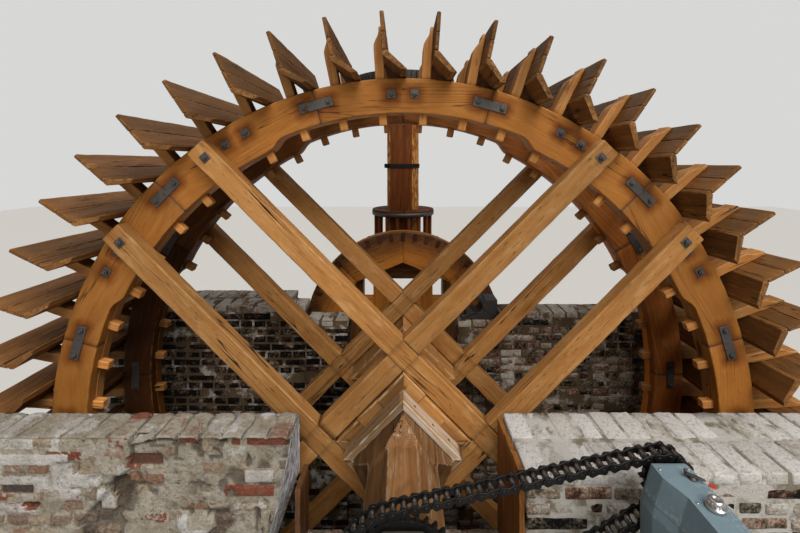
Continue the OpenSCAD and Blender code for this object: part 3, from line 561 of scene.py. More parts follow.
def rubble_colours():
    """tone: the brick's own colour, mortar over it (plaster above 1.25), white (below 0, painted shade of a
    hollow or groove)
    """
    g = Graph("smeared_brickwork")
    o = g.obj()
    rnd, mask, white = g.xyz(g.attr("tone"))
    n1 = g.noise(o, 8, 6, 0.68)
    n2 = g.noise(o, 48, 5, 0.65)
    n3 = g.noise(o, 220, 3, 0.6)
    n4 = g.noise(g.shift(o, (5.3, 2.1, 7.7)), 17, 5, 0.7)
    body = g.ramp(rnd, RUBBLE_STOPS)
    crumb = g.noise(o, 100, 5, 0.75)
    patch = g.noise(g.shift(o, (9.3, 4.1, 2.7)), 26, 5, 0.75)
    body = g.mix(g.step(n2, 0.35, 0.70), g.mix(1.0, body, (0.66, 0.62, 0.60), "MULTIPLY"), body)
    mortar = g.mix(g.step(n1, 0.38, 0.58), (0.300, 0.262, 0.205), (0.415, 0.385, 0.325))
    mortar = g.over(mortar, (0.300, 0.290, 0.262), 0.6, n4, 0.52, 0.66)
    edge = g.add(mask, g.add(g.about(n4, 1.1), g.about(crumb, 0.9)))
    col = g.mix(g.step(edge, 0.40, 0.62), body, mortar)
    col = g.over(col, (0.165, 0.122, 0.082), 0.50, patch, 0.50, 0.66)
    film = g.add(g.about(n2, 0.9), g.add(g.mul(white, 0.62), g.mul(n1, 0.35)))
    pale = g.mix(g.step(n1, 0.40, 0.60), (0.440, 0.425, 0.405), (0.590, 0.590, 0.590))
    col = g.over(col, pale, 0.85, film, 0.52, 0.72)
    # the plaster on the end: white, streaked down the wall, with a bluish tint that is painted cool daylight
    streak = g.noise(g.stretch(o, (1.0, 1.0, 0.16)), 70, 4, 0.6)
    plaster = g.mix(g.step(streak, 0.38, 0.56), (0.300, 0.295, 0.330), (0.740, 0.755, 0.800))
    col = g.mix(g.step(mask, 1.25, 1.42), col, plaster)
    grit = g.step(g.noise(o, 150, 3, 0.65), 0.60, 0.70)
    col = g.mix(g.mul(grit, 0.5), col, (0.080, 0.062, 0.045))
    brown = g.noise(g.shift(o, (1.3, 8.1, 4.7)), 11, 4, 0.7)
    col = g.over(col, (0.200, 0.140, 0.080), 0.55, brown, 0.60, 0.72)
    h = g.add(n2, g.add(g.mul(n3, 0.4), g.mul(n4, 0.5)))
    h = g.sub(h, g.mul(grit, 0.5))
    # small pits, and painted shade where the tone's white falls below 0 in hollows and grooves
    pits_and_hollow_shade = g.math("MAXIMUM", g.step(crumb, 0.60, 0.70), g.step(g.add(white, g.about(n2, 0.8)), -0.10, -0.75))
    col = g.mix(g.mul(pits_and_hollow_shade, 0.65), col, (0.060, 0.046, 0.034))
    h = g.add(h, g.sub(g.mul(patch, 1.4), g.mul(pits_and_hollow_shade, 0.9)))
    return g.finish(col, 0.94, g.bump(h, 0.010), Specular_IOR_Level=0.22)


OAK_MARKS = [(15.0, 0.12, 0.034, 2.340), (-2.0, 0.03, 0.03, 2.340), (2.0, 0.03, 0.03, 2.340)]
M_RIM = wood("oak_rim", (0.390, 0.158, 0.034), (0.240, 0.084, 0.015), (0.080, 0.022, 0.004),
             (0.50, 0.245, 0.070), iron_marks=OAK_MARKS, ring_mix=0.20, streaks=0.55, checks=0.7,
             warm=(0.330, 0.105, 0.012))
M_OAK = wood("oak_timber", (0.430, 0.208, 0.066), (0.225, 0.088, 0.020), (0.070, 0.026, 0.006),
             (0.60, 0.38, 0.18), pale_edge=0.2, ring_mix=0.22, streaks=0.7, mottles=1.1,
             warm=(0.300, 0.110, 0.018), flecks=0.75)
M_START = wood("oak_starts", (0.440, 0.205, 0.062), (0.230, 0.088, 0.020), (0.060, 0.020, 0.005),
               (0.58, 0.36, 0.16), pale_edge=0.3, ring_mix=0.24, mottles=0.7, warm=(0.300, 0.100,
               0.014), flecks=0.3)
# painted shade: a darker copy of the rim oak, for the inner layer of the rear rim
M_REAR_SHADED = wood("oak_rear_rim_painted_shade", (0.200, 0.070, 0.016), (0.100, 0.030, 0.006), (0.026, 0.009, 0.003),
              (0.36, 0.22, 0.09), pale_edge=0.4, ring_mix=0.26)
M_FLOAT = wood("oak_boards", (0.190, 0.086, 0.027), (0.090, 0.036, 0.011), (0.024, 0.009, 0.003),
               (0.34, 0.17, 0.055), ring_w=0.009, weather=0.05, ring_mix=0.36, pale_edge=0.8,
               warm=(0.125, 0.050, 0.013), flecks=0.6)
M_PALE = wood("pale_oak", (0.400, 0.200, 0.065), (0.210, 0.085, 0.024), (0.060, 0.024, 0.009),
              (0.56, 0.42, 0.27), weather=0.20, pale_edge=0.5)
# the battens; their pale weathering shows only on faces of high tone, which paints the lit top right face
M_WHITE = wood("batten_with_painted_light", (0.380, 0.235, 0.115), (0.200, 0.100, 0.038), (0.070, 0.032, 0.014),
               (0.56, 0.54, 0.50), weather=0.80, pale_edge=0.5)
M_PIT = wood("pit_wheel_elm", (0.520, 0.195, 0.032), (0.260, 0.078, 0.010), (0.060, 0.018, 0.004),
             (0.46, 0.22, 0.07), pale_edge=0.25, ring_mix=0.25)
M_DARK = wood("old_dark_oak", (0.085, 0.026, 0.010), (0.034, 0.010, 0.004), (0.008, 0.004, 0.003),
              (0.19, 0.07, 0.035), pale_edge=0.3, mottles=0.0)
M_ORANGE = wood("orange_boards", (0.330, 0.130, 0.030), (0.150, 0.048, 0.010), (0.040, 0.013, 0.004),
                (0.50, 0.27, 0.10))
M_STAVE = wood("stave_rods", (0.190, 0.052, 0.014), (0.080, 0.020, 0.006), (0.020, 0.007, 0.003),
               (0.36, 0.13, 0.05))
M_AXLE = wood("axle_oak", (0.215, 0.109, 0.043), (0.086, 0.034, 0.012), (0.026, 0.010, 0.004),
              (0.44, 0.35, 0.24), weather=0.24, ring_mix=0.36, warm=(0.18, 0.062, 0.013))
M_SHAFT = wood("shaft_oak", (0.185, 0.050, 0.010), (0.085, 0.020, 0.004), (0.022, 0.006, 0.003),
               (0.55, 0.30, 0.08), pale_edge=0.9, ring_mix=0.25, mottles=0.3)
M_IRON = iron("wrought_iron", (0.075, 0.073, 0.072))
M_CAST = iron("cast_iron", (0.040, 0.040, 0.042), rusty=0.25, rough=0.6, scale=0.7)
M_CHAIN = iron("chain_oiled", (0.012, 0.012, 0.012), (0.030, 0.018, 0.010), 0.3, 0.38, 0.7, 1.4,
               (0.10, 0.10, 0.10))
M_STEEL = iron("bright_steel", (0.42, 0.42, 0.42), (0.20, 0.13, 0.08), 0.15, 0.32, 0.95, 1.4, (0.7, 0.7, 0.7))
M_ROLLER = iron("chain_roller", (0.16, 0.16, 0.16), (0.05, 0.05, 0.05), 0.20, 0.24, 1.0, 1.4,
                (0.55, 0.55, 0.55))
M_PAINT = paint("grey_blue_paint", (0.190, 0.275, 0.325), (0.36, 0.41, 0.44), 0.58)
M_RED = paint("red_tab", (0.62, 0.05, 0.03), (0.7, 0.3, 0.25), 0.42)
M_BRICK = brick_colours("old_brick")
M_MORTAR = mortar_colours("lime_mortar", (0.330, 0.290, 0.220))
M_SOOTY_MORTAR = mortar_colours("sooty_mortar", (0.150, 0.105, 0.062))
M_RUBBLE = rubble_colours()


# Rims, arms, starts and floats

def inner_at(a):
    """inner radius of the rim at angle a in degrees, with the swellings where the arms land"""
    d = abs((a + 45.0) % 90.0 - 45.0)
    return SWELL + (INNER - SWELL) * smooth((25.6 - d) / 3.2)


def smooth(t):
    t = min(max(t, 0.0), 1.0)
    return t * t * (3 - 2 * t)


def felloes(node, mat, first, y0, y1):
    """twelve felloes of one layer of a rim, the joints stained"""
    part = Part()
    mean_r = 2.3
    half = math.radians(15) - 0.00075 / mean_r
    ph = with_ends(np.linspace(-half, half, 33), 0.0012)
    for k in range(12):
        mid = math.radians(first + 15 + 30 * k)
        c = np.array([squared(y0, y1, inner_at(math.degrees(mid - f)), RIM) for f in ph])
        r, edge = worn(ph * mean_r, c, 0.0009, 0.003, 0.005, 0.5, 1.1)
        joint = np.clip((np.abs(ph) * mean_r - (half * mean_r - 0.012)) / 0.012, 0, 1) * 0.6
        turn = rng.uniform(0, 2 * math.pi)
        inward = 1 if turn > 1 else -1
        pith = (rng.uniform(0, 40), rng.uniform(-0.25, 0.25), -2.33 + rng.uniform(0.10, 0.32) * inward)
        # painted light: the rear rim is paler towards the right and darker towards the left
        rnd = None if y0 < 0 else 1.0 + 2.0 * math.cos(mid) + rng.uniform(-0.2, 0.2)
        part.sweep(bent(ph, r), frame_tangent(mid), edge, np.repeat(joint, r.shape[1]), pith, rnd)
    part.make("rim_" + node, mat, "wheel", "oak", [node])


felloes("front_rim_outer", M_RIM, 15, -R_OUT, -R_OUT + RIM_LAYER - HAIRLINE)
felloes("front_rim_inner", M_OAK, 0, -R_OUT + RIM_LAYER, -R_IN)
felloes("rear_rim_inner", M_REAR_SHADED, 0, R_IN, R_OUT - RIM_LAYER)
felloes("rear_rim_outer", M_RIM, 15, R_OUT - RIM_LAYER + HAIRLINE, R_OUT)


def lapped(x0, x1, laps, half_lap, clear, bevel):
    """stations of a lapped timber, two close together at each shoulder of a lap"""
    xs = list(stations(x0, x1, 0.07, bevel))
    for lap in laps:
        xs = [x for x in xs if abs(abs(x - lap) - half_lap) > clear]
        xs += [lap + side * half_lap + d for side in (-1, 1) for d in (-1e-5, 1e-5)]
    return np.array(sorted(xs))


def lapped_section(x, laps, half_lap, whole, kept, z0, z1):
    """inside a lap only the kept part of the thickness stays"""
    cut = any(abs(x - lap) < half_lap for lap in laps)
    return squared(*(kept if cut else whole), z0, z1)


ARM_LAPS = (-ARM_OFF, ARM_OFF)
ARM_LAP = ARM_W / 2 + HAIRLINE


def arms(node, angle, whole, kept):
    """two parallel arms of the wheel, with painted shade along the shoulders of their laps"""
    part = Part()
    half = math.sqrt(ARM_END ** 2 - ARM_OFF ** 2)
    for side in (-1, 1):
        z0, z1 = side * ARM_OFF - ARM_W / 2, side * ARM_OFF + ARM_W / 2
        xs = lapped(-half, half, ARM_LAPS, ARM_LAP, 0.012, 0.006)
        c = np.array([lapped_section(x, ARM_LAPS, ARM_LAP, whole, kept, z0, z1) for x in xs])
        r, edge = worn(xs, c, np.array([0.4, 1.0]) * 0.0022, 0.006, 0.006, 0.5, 1.1)
        shade = np.zeros(len(xs))
        for lap in ARM_LAPS:
            shade = np.maximum(shade, 0.45 * np.exp(-((np.abs(xs - lap) - ARM_LAP) / 0.01) ** 2))
        part.sweep(straight(xs, r), frame_radial(angle), edge, np.repeat(shade, r.shape[1]))
    part.make("arms_" + node, M_OAK, "wheel", "oak", [node])


SLANT = math.radians(45)
arms("front_arms_down", -SLANT, (-ARM_F, -R_OUT), (-ARM_F, -R_OUT - 0.0553))
arms("front_arms_up", SLANT, (-ARM_F, -R_OUT), (-R_OUT - 0.0547, -R_OUT))
arms("rear_arms_down", -SLANT, (R_OUT, ARM_F), (ARM_F - 0.0547, ARM_F))
arms("rear_arms_up", SLANT, (R_OUT, ARM_F), (R_OUT, ARM_F - 0.0553))


def float_angle(k):
    return math.radians((k + 0.5) * 360 / FLOATS)


def start_front(x):
    """free side of a start, with its scooped taper, at radius x"""
    top = TIP - BOARD_TIP_GAP
    left = 0.36
    if x <= top - 0.140:
        return START_HALF
    if x >= top - 0.030:
        return START_HALF * (2 * left - 1)
    return START_HALF * (2 * (left + (1 - left) * smooth((top - 0.030 - x) / 0.110)) - 1)


def starts(node, mid):
    """the blocks that carry the floats, and their tenons through the rim"""
    part = Part()
    for k in range(FLOATS):
        place = frame_radial(float_angle(k))
        beam(part, place, RIM + HAIRLINE, TIP - BOARD_TIP_GAP,
             lambda x: (mid - 0.060, mid + 0.060, -START_HALF, start_front(x)), step=0.030)
        near_arm = abs(math.degrees(float_angle(k)) % 90 - 45) < 21
        foot = SWELL if near_arm else INNER
        # painted light: the tenons of the front starts are paler than those of the rear starts
        rnd = rng.uniform(1.3, 2.0) if mid < 0 else rng.uniform(0.3, 0.9)
        beam(part, place, foot - 0.076, RIM + 0.005, (mid - 0.028, mid + 0.028, -0.028, 0.028), step=0.05,
             stain_and_shade=lambda x: 0.8 if x > foot - 0.004 else 0.0, rnd=rnd)
    part.make("wheel_" + node, M_START, "wheel", "oak", [node])


def float_boards(node, r0, r1):
    part = Part()
    for k in range(FLOATS):
        section = (r0, r1, FLOAT_FACE, FLOAT_BACK)
        beam(part, frame_axial(float_angle(k)), -BOARD / 2, BOARD / 2, section, 0.0022, step=0.085)
    part.make("wheel_" + node, M_FLOAT, "wheel", "oak", [node])


def kick_boards():
    """the boards that close each float down to the rim at 45 degrees"""
    part = Part()
    drop = FLOAT_FACE + KINK - RIM
    foot = RIM + 0.004
    outline = [(KINK - 0.001, FLOAT_BACK), (foot, drop + 0.0168), (foot, drop - 0.0224),
               (KINK - 0.0308, FLOAT_FACE), (KINK - 0.001, FLOAT_FACE)]
    half = BOARD / 2 - 0.002
    x = stations(-half, half, 0.130, 0.004)
    for k in range(FLOATS):
        r, edge = worn(x, np.array([outline] * len(x)), 0.0007, 0.003, 0.004)
        part.sweep(straight(x, r), frame_axial(float_angle(k)), edge)
    part.make("wheel_float_kick_boards", M_FLOAT, "wheel", "oak", ["float_kick_boards"])


RIM_MID = R_OUT - RIM_LAYER
starts("front_starts", -RIM_MID)
starts("rear_starts", RIM_MID)
float_boards("float_outer_boards", TIP - 0.132, TIP)
float_boards("float_inner_boards", KINK, TIP - 0.1332)
kick_boards()


# The axle and its packing

AXLE_FRONT, AXLE_REAR = -1.500, 1.530
TAPER_FRONT, TAPER_REAR, TAPER = -0.752, 0.609, 0.155


def octagon(diagonal, level):
    """corners of an octagon whose diagonal faces lie at diagonal and whose other faces lie at level"""
    out = []
    for i in range(8):
        a, b = math.radians(45 * i), math.radians(45 * (i + 1))
        d1, d2 = (level, diagonal) if i % 2 == 0 else (diagonal, level)
        det = math.cos(a) * math.sin(b) - math.sin(a) * math.cos(b)
        out.append(((d1 * math.sin(b) - d2 * math.sin(a)) / det, (d2 * math.cos(a) - d1 * math.cos(b)) / det))
    return out


def axle_section(y):
    """square on edge with worn corners inside the wheel, eight-sided beyond it"""
    corner = AXLE_HALF * math.sqrt(2) - 0.004
    past = TAPER_FRONT - y if y < 0 else y - TAPER_REAR
    level = corner + (AXLE_OCTAGON - corner) * smooth(past / TAPER)
    return octagon(AXLE_HALF - (AXLE_HALF - AXLE_OCTAGON) * smooth((past - TAPER) / 0.006), level)


def axle():
    part = Part()
    tapers = [-0.752, -0.771, -0.791, -0.811, -0.830, -0.849, -0.868, -0.888, -0.907, -0.912,
              0.609, 0.628, 0.648, 0.668, 0.687, 0.706, 0.725, 0.745, 0.764, 0.769]
    ys = np.array(sorted([*np.arange(AXLE_FRONT, 1.531, 0.055), *tapers, -1.497, 1.5265, AXLE_REAR]))
    r, edge = worn(ys, np.array([axle_section(y) for y in ys]), 0.003, 0.003, 0.004, 0.5, 1.0, middle=0)
    # painted light: each face of the axle has its own tone, the top pale, those on the left dark
    facet_painted_light = [0.95, 0.75, -0.55, 0.1, 0.0, 0.0, -0.75, -0.45]
    tint = [facet_painted_light[(i + j) % 8] for i in range(8) for j in (0, 0, 1, 1)]
    part.sweep(straight(ys, r), frame_along_y(), edge, None, (3.0, 0.012, -0.017), np.tile(tint, len(ys)))
    part.make("axle_timber", M_AXLE, "wheel", "oak", ["axle"])


axle()
HUB_PACK = ARM_OFF - ARM_W / 2
BATTENS_FRONT = (-0.724, -0.593)
BATTENS_REAR = (ARM_F + 0.0203, ARM_F + 0.0923)


def mitred(part, th, s0, s1, y0, y1, z1, bevel, amp, rnd):
    """a board on a face of the axle, cut to a mitre where it meets the one on the next face"""
    x = stations(s0, s1, 0.045, 0.003)
    r, edge = worn(x, np.array([squared(y0, y1, AXLE_HALF + HAIRLINE, z1)] * len(x)), amp, 0, bevel)
    far = r[:, :, 1] - 0.0012
    across = np.clip(np.broadcast_to(x[:, None], far.shape), -far, far)
    sec = np.stack([across, r[:, :, 0], r[:, :, 1]], axis=2)
    part.sweep(sec, frame_tangent(th), edge, None, None, rnd)


def hub():
    """the packing between the axle and the arms in uneven blocks, and the battens nailed before it"""
    wedges, battens = Part(), Part()
    # painted light: the top right face is pale, the others darker brown
    face_painted_light = (1.25, -0.30, -0.45, -0.20)
    for side in (-1, 1):
        for k in range(4):
            th = math.radians(45 + 90 * k)
            cuts = [-0.327, rng.uniform(-0.15, -0.08), rng.uniform(0.07, 0.16), 0.327]
            for s0, s1 in zip(cuts[:-1], cuts[1:]):
                dy, dz = rng.uniform(0, 0.014), rng.uniform(0, 0.010)
                reach = ARM_F + 0.020 - dy
                y0, y1 = (-reach, -0.209) if side < 0 else (0.209, reach)
                mitred(wedges, th, s0 + 0.001, s1 - 0.001, y0, y1, HUB_PACK - HAIRLINE - dz, 0.006, 0.005,
                       face_painted_light[k] + rng.uniform(-0.1, 0.15))
            y0, y1 = BATTENS_FRONT if side < 0 else BATTENS_REAR
            mitred(battens, th, -0.270, 0.270, y0, y1, 0.265, 0.004, 0.0016, face_painted_light[k])
    wedges.make("axle_hub_wedges", M_PALE, "wheel", "pale_wood", ["hub_wedges"])
    battens.make("axle_hub_battens", M_WHITE, "wheel", "pale_wood", ["hub_battens"])


hub()


# The pit wheel

def arc_member(part, mid, y0, y1, inner, bevel=0.005, greasy=False):
    """an eighth of the pit wheel, its face stained by grease towards the cogs"""
    half = math.radians(22.5) - 0.0009
    ph = with_ends(np.linspace(-half, half, 17), bevel / PIT_R)
    c = np.array([squared(y0, y1, inner(f), PIT_R) for f in ph])
    r, edge = worn(ph * PIT_R, c, 0.0015, bevel * 0.7, bevel, 0.5, 1.0)
    stain_and_shade = np.clip((r[:, :, 1] - 0.93) / 0.11, 0, 1).reshape(-1) ** 1.2 * 0.95 if greasy else None
    pith = (rng.uniform(0, 40), rng.uniform(-0.2, 0.2), -0.9 + rng.uniform(0.05, 0.2))
    part.sweep(bent(ph, r), frame_tangent(mid), edge, stain_and_shade, pith)


def pit_wheel_rings():
    apothem = 0.738 * math.cos(math.radians(22.5))
    front, back = Part(), Part()
    for k in range(8):
        arc_member(front, math.radians(90 + 22.5 + 45 * k), PIT_F, PIT_F + PIT_LAYER - HAIRLINE,
                   lambda f: apothem / math.cos(f), greasy=True)
    front.make("pit_wheel_front_cants", M_PIT, "wheel", "orange_wood", ["pit_wheel_cants"])
    for k in range(8):
        arc_member(back, math.radians(90 + 45 * k), PIT_F + PIT_LAYER, PIT_B, lambda f: 0.835)
    back.make("pit_wheel_back_ring", M_PIT, "wheel", "orange_wood", ["pit_wheel_ring"])


def pit_wheel_arms():
    """two pairs of arms that clasp the axle, lapped where they cross"""
    part = Part()
    half = 0.065
    off = AXLE_OCTAGON + half + HAIRLINE
    laps = (-off, off)
    end = math.sqrt(0.8347 ** 2 - (off + half) ** 2)
    y0, y1 = PIT_F + PIT_LAYER, PIT_B - HAIRLINE
    for angle, kept in ((0.0, (y0 + 0.0403, y1)), (math.pi / 2, (y0, y0 + 0.0397))):
        for side in (-1, 1):
            xs = lapped(-end, end, laps, half + HAIRLINE, 0.01, 0.004)
            z0, z1 = side * off - half, side * off + half
            c = np.array([lapped_section(x, laps, half + HAIRLINE, (y0, y1), kept, z0, z1) for x in xs])
            r, edge = ring(shrink_ends(c, 0.004), 0.004 * (0.6 + 0.8 * rng.random((len(xs), 4))))
            part.sweep(straight(xs, r), frame_radial(angle), edge)
    part.make("pit_wheel_clasp_arms", M_PIT, "wheel", "orange_wood", ["pit_wheel_arms"])


def pit_wheel_cogs():
    part = Part()
    shank = [(PIT_F - 0.008, 0.019), (PIT_F - 0.003, 0.023), (PIT_F + 0.05, 0.023), (PIT_B - 0.001, 0.023)]
    tooth = [(0.004, 0.023), (0.030, 0.023), (0.060, 0.0205), (0.090, 0.0182), (0.118, 0.0159),
             (0.130, 0.0125), (0.138, 0.0080)]
    rows = shank + [(PIT_B + x, half) for x, half in tooth]
    x = np.array([row[0] for row in rows])
    c = np.array([squared(0.981, 1.069, -half, half) for _, half in rows])
    for i in (0, -1):
        c[i] = squared(0.984, 1.066, -rows[i][1], rows[i][1])
    for k in range(48):
        r, edge = ring(c, 0.003)
        part.sweep(straight(x, r), frame_axial(math.radians(90 + 7.5 * k)), edge)
    part.make("pit_wheel_cog_teeth", M_DARK, "wheel", "dark_wood", ["pit_wheel_cogs"])


pit_wheel_rings()
pit_wheel_arms()
pit_wheel_cogs()


# The upright shaft and the wallower

def tube(rows, n, at=(0.0, 0.0)):
    """circles of n points; rows of (x, radius)"""
    a = np.linspace(0, 2 * math.pi, n, endpoint=False)
    y, z = np.cos(a), np.sin(a)
    return np.stack([np.stack([np.full(n, x), at[0] + r * y, at[1] + r * z], axis=1) for x, r in rows])


def upright_shaft():
    part = Part()
    zs = stations(SHAFT_FOOT, SHAFT_TOP, 0.10, 0.004)
    h, wide, slim = SHAFT_H, SHAFT_H - SHAFT_WIDE, SHAFT_H - SHAFT_SLIM
    outline = [(wide, -h), (h, -wide), (h, slim), (slim, h), (-wide, h), (-h, wide), (-h, -slim), (-slim, -h)]
    r, _ = worn(zs, np.array([outline] * len(zs)), 0.003, 0.004, 0.005, 0.5, 1.0, middle=0)
    # the chamfers are paler and golden, the flats darker
    bare = np.array([1.0 if (i - 1 + j) % 2 == 0 else 0.25 for i in range(8) for j in (0, 0, 1, 1)])
    part.sweep(straight(zs, r), frame_up(0, SHAFT_Y), bare, None, (1.0, 0.02, 0.03),
               np.tile(np.where(bare > 0.5, 1.5, 0.15), len(zs)))
    # the pintle under the shaft
    pintle = [(SHAFT_FOOT - 0.108 + HAIRLINE, 0.030), (SHAFT_FOOT - 0.104, 0.035), (SHAFT_FOOT + 0.01, 0.035)]
    part.sweep(tube(pintle, 24), frame_up(0, SHAFT_Y), np.zeros(24), 1.0)
    part.make("upright_shaft_timber", M_SHAFT, "upright", "oak", ["upright_shaft"])


def shaft_reach(f, grow):
    """how far the shaft's outline, enlarged by grow, lies from its middle line in that direction"""
    out = 9.0
    for k in range(8):
        cut = 0.0 if k % 2 == 0 else (SHAFT_SLIM if k % 4 == 1 else SHAFT_WIDE)
        far = SHAFT_H if k % 2 == 0 else (2 * SHAFT_H - cut) / math.sqrt(2)
        across = math.cos(f - math.radians(45 * k))
        if across > 0.1:
            out = min(out, (far + grow) / across)
    return out


def wallower_discs():
    """two discs, each of four quarters round the shaft, with an iron band"""
    boards, bands = Part(), Part()
    feet = (LOW_DISC_TOP - DISC, WALLOWER_TOP - DISC)
    for z0 in feet:
        for k in range(4):
            first, last = math.radians(90 * k) + 0.003, math.radians(90 * k + 90) - 0.003
            ph = np.linspace(first, last, 19)
            inner = [shaft_reach(f, 0.0005) for f in ph]
            c = [[[ri, z0], [DISC_R, z0], [DISC_R, z0 + DISC], [ri, z0 + DISC]] for ri in inner]
            r, edge = ring(shrink_ends(np.array(c), 0.002), 0.006 * (0.6 + 0.8 * rng.random((19, 4))))
            f = ph[:, None]
            co = np.stack([r[:, :, 0] * np.cos(f), r[:, :, 0] * np.sin(f), r[:, :, 1]], axis=2)
            # x runs along the chord of the quarter, so that the grain goes straight through it
            mid = 0.5 * (first + last)
            rot = np.array([[-math.sin(mid), 0, math.cos(mid)], [math.cos(mid), 0, math.sin(mid)], [0, 1, 0]])
            boards.sweep((co @ rot)[::-1], (rot, from_wheel(0, SHAFT_Y, 0)), edge)
    for z0 in feet:
        a = np.linspace(0, 2 * math.pi, 73)[:, None]
        r = np.array([DISC_R - 0.0005, DISC_R + 0.0025, DISC_R + 0.0025, DISC_R - 0.0005])
        z = np.broadcast_to([z0 + 0.008, z0 + 0.008, z0 + 0.050, z0 + 0.050], (73, 4))
        sec = np.stack([r * np.cos(a), r * np.sin(a), z], axis=2)[::-1]
        bands.sweep(sec, frame_along_x(0, SHAFT_Y, 0), np.zeros(4))
    bands.make("wallower_iron_bands", M_IRON, "upright", "wrought_iron")
    boards.make("wallower_disc_boards", M_DARK, "upright", "dark_wood", ["wallower_discs"])


def wallower_staves():
    """sixteen rods, worn where the cogs take them"""
    part = Part()
    low, top = LOW_DISC_TOP, WALLOWER_TOP
    rows = [(low - 0.076, 0.018), (low - 0.073, 0.022), (low, 0.022), (low + 0.05, 0.0215), (1.025, 0.0205),
            (1.10, 0.0212), (1.16, 0.022), (top + 0.001, 0.022), (top + 0.004, 0.018)]
    for k in range(16):
        f = math.radians(22.5 * (k + 0.5) - 90)
        place = frame_up(STAVE_RING * math.cos(f), SHAFT_Y + STAVE_RING * math.sin(f))
        part.sweep(tube(rows, 16), place, np.full(16, 0.3))
    part.make("wallower_stave_rods", M_STAVE, "upright", "orange_wood", ["wallower_staves"])


upright_shaft()
wallower_discs()
wallower_staves()


# Masonry

COURSE, BRICK_LONG, BRICK_WIDE, BRICK_HIGH = 0.0755, 0.250, 0.120, 0.065
JOINT = 0.010


def box_grid(cells):
    """points (as steps along each axis) and quads of the surface of a box of so many cells"""
    index, quads = {}, []
    for a in range(3):
        b, c = (a + 1) % 3, (a + 2) % 3
        for end in (0, cells[a]):
            for i in range(cells[b]):
                for j in range(cells[c]):
                    quad = []
                    for di, dj in ((0, 0), (1, 0), (1, 1), (0, 1)):
                        t = [0, 0, 0]
                        t[a], t[b], t[c] = end, i + di, j + dj
                        quad.append(index.setdefault(tuple(t), len(index)))
                    quads.append(quad if end else quad[::-1])
    return np.array(list(index)), np.array(quads)


def grid_block(lo, hi, step):
    """points and quads of a block's surface, in cells of about that step"""
    lo, hi = np.array(lo), np.array(hi)
    cells = np.array([max(1, int(round(v))) for v in (hi - lo) / step])
    at, quads = box_grid(cells)
    return lo + (hi - lo) * at / cells, quads


def fine_brick(cuts):
    """a brick's inner fraction f and outward direction e at each vertex, its quads and corner triangles"""
    at, quads = box_grid([n + 1 for n in cuts])
    f = [np.array([-1, *np.linspace(-1, 1, n), 1])[at[:, a]] for a, n in enumerate(cuts)]
    e = np.stack([np.array([-1, *[0] * n, 1])[at[:, a]] for a, n in enumerate(cuts)], axis=1).astype(float)
    return np.stack(f, axis=1), e / np.maximum(np.linalg.norm(e, axis=1, keepdims=True), 1), quads, []


def plain_brick():
    """the same with three points at each corner, one on each face, joined by bevels"""
    signs = [(x, y, z) for x in (-1, 1) for y in (-1, 1) for z in (-1, 1)]
    f = np.repeat(np.array(signs, float), 3, axis=0)
    e = f * np.tile(np.eye(3), (8, 1))
    p = f * 0.9 + e * 0.1

    def outward(loop):
        a, b, c = p[loop[0]], p[loop[1]], p[loop[2]]
        return loop if np.cross(b - a, c - b) @ p[loop].mean(axis=0) > 0 else loop[::-1]

    def at(a, on_a, on_b, on_c, axis):
        corner = [0, 0, 0]
        corner[a], corner[(a + 1) % 3], corner[(a + 2) % 3] = on_a, on_b, on_c
        return signs.index(tuple(corner)) * 3 + axis

    quads = []
    for a in range(3):
        b = (a + 1) % 3
        for s in (-1, 1):
            quads.append(outward([at(a, s, t, u, a) for t, u in ((-1, -1), (1, -1), (1, 1), (-1, 1))]))
            for t in (-1, 1):
                bevel = [at(a, s, t, u, axis) for u, axis in ((-1, a), (1, a), (1, b), (-1, b))]
                quads.append(outward(bevel))
    return f, e, np.array(quads), [outward([3 * i, 3 * i + 1, 3 * i + 2]) for i in range(8)]


FINE = fine_brick((4, 3, 2))
PLAIN = plain_brick()


def lay(part, bricks, template, radius, rough):
    """bricks: rows of middle (3), size (3), yaw, tilt and tone (3)"""
    if not bricks:
        return
    b = np.array(bricks)
    f, e, quads, corners = template
    many, points = len(b), len(f)
    rad = radius * (0.6 + 0.9 * rng.random((many, 1, 1)))
    middle = b[:, None, 0:3]
    p = f[None] * (b[:, None, 3:6] / 2 - rad) + e[None] * rad
    phase = rng.uniform(0, 2 * math.pi, (many, 1, 3, 3))
    waves = np.array([60.0, 130.0, 33.0])
    dots = np.stack([((p + middle) * np.roll(waves, -i)).sum(axis=-1) for i in range(3)], axis=-1)
    lumps = np.sin(dots[..., None, :] + phase).mean(axis=-1) * rough * 1.2
    lumps = lumps + rng.normal(0, rough * 0.33, p.shape)
    p = p - np.abs(lumps) * np.sign(p)
    yaw, tilt = b[:, 6:7], b[:, 7:8]
    x = p[..., 0] * np.cos(yaw) - p[..., 1] * np.sin(yaw)
    y = p[..., 0] * np.sin(yaw) + p[..., 1] * np.cos(yaw)
    co = (np.stack([x, y, p[..., 2] + tilt * p[..., 0]], axis=-1) + middle).reshape(-1, 3)
    quads = (quads[None] + (np.arange(many) * points)[:, None, None]).reshape(-1, 4)
    caps = [[v + k * points for v in loop] for k in range(many) for loop in corners]
    part.add(co, co, np.repeat(b[:, 8:11], points, axis=0), quads, caps)


def mortar_core(part, lo, hi, tone):
    """a rough block behind the bricks; its surface wanders inwards"""
    p, quads = grid_block(lo, hi, 0.078)
    w = rng.uniform(0, 2 * math.pi, 6)
    x, y, z = p.T
    lumps = np.sin(x * 31 + w[0]) * np.sin(z * 37 + w[1]) + np.sin(x * 11 + z * 17 + y * 23 + w[2])
    k = np.clip(0.5 + 0.25 * lumps + rng.normal(0, 0.22, len(p)), 0, 1)[:, None]
    inward = np.isclose(p, lo).astype(float) - np.isclose(p, hi)
    p = p + inward * 0.006 * k
    part.add(p, p, tone, quads)


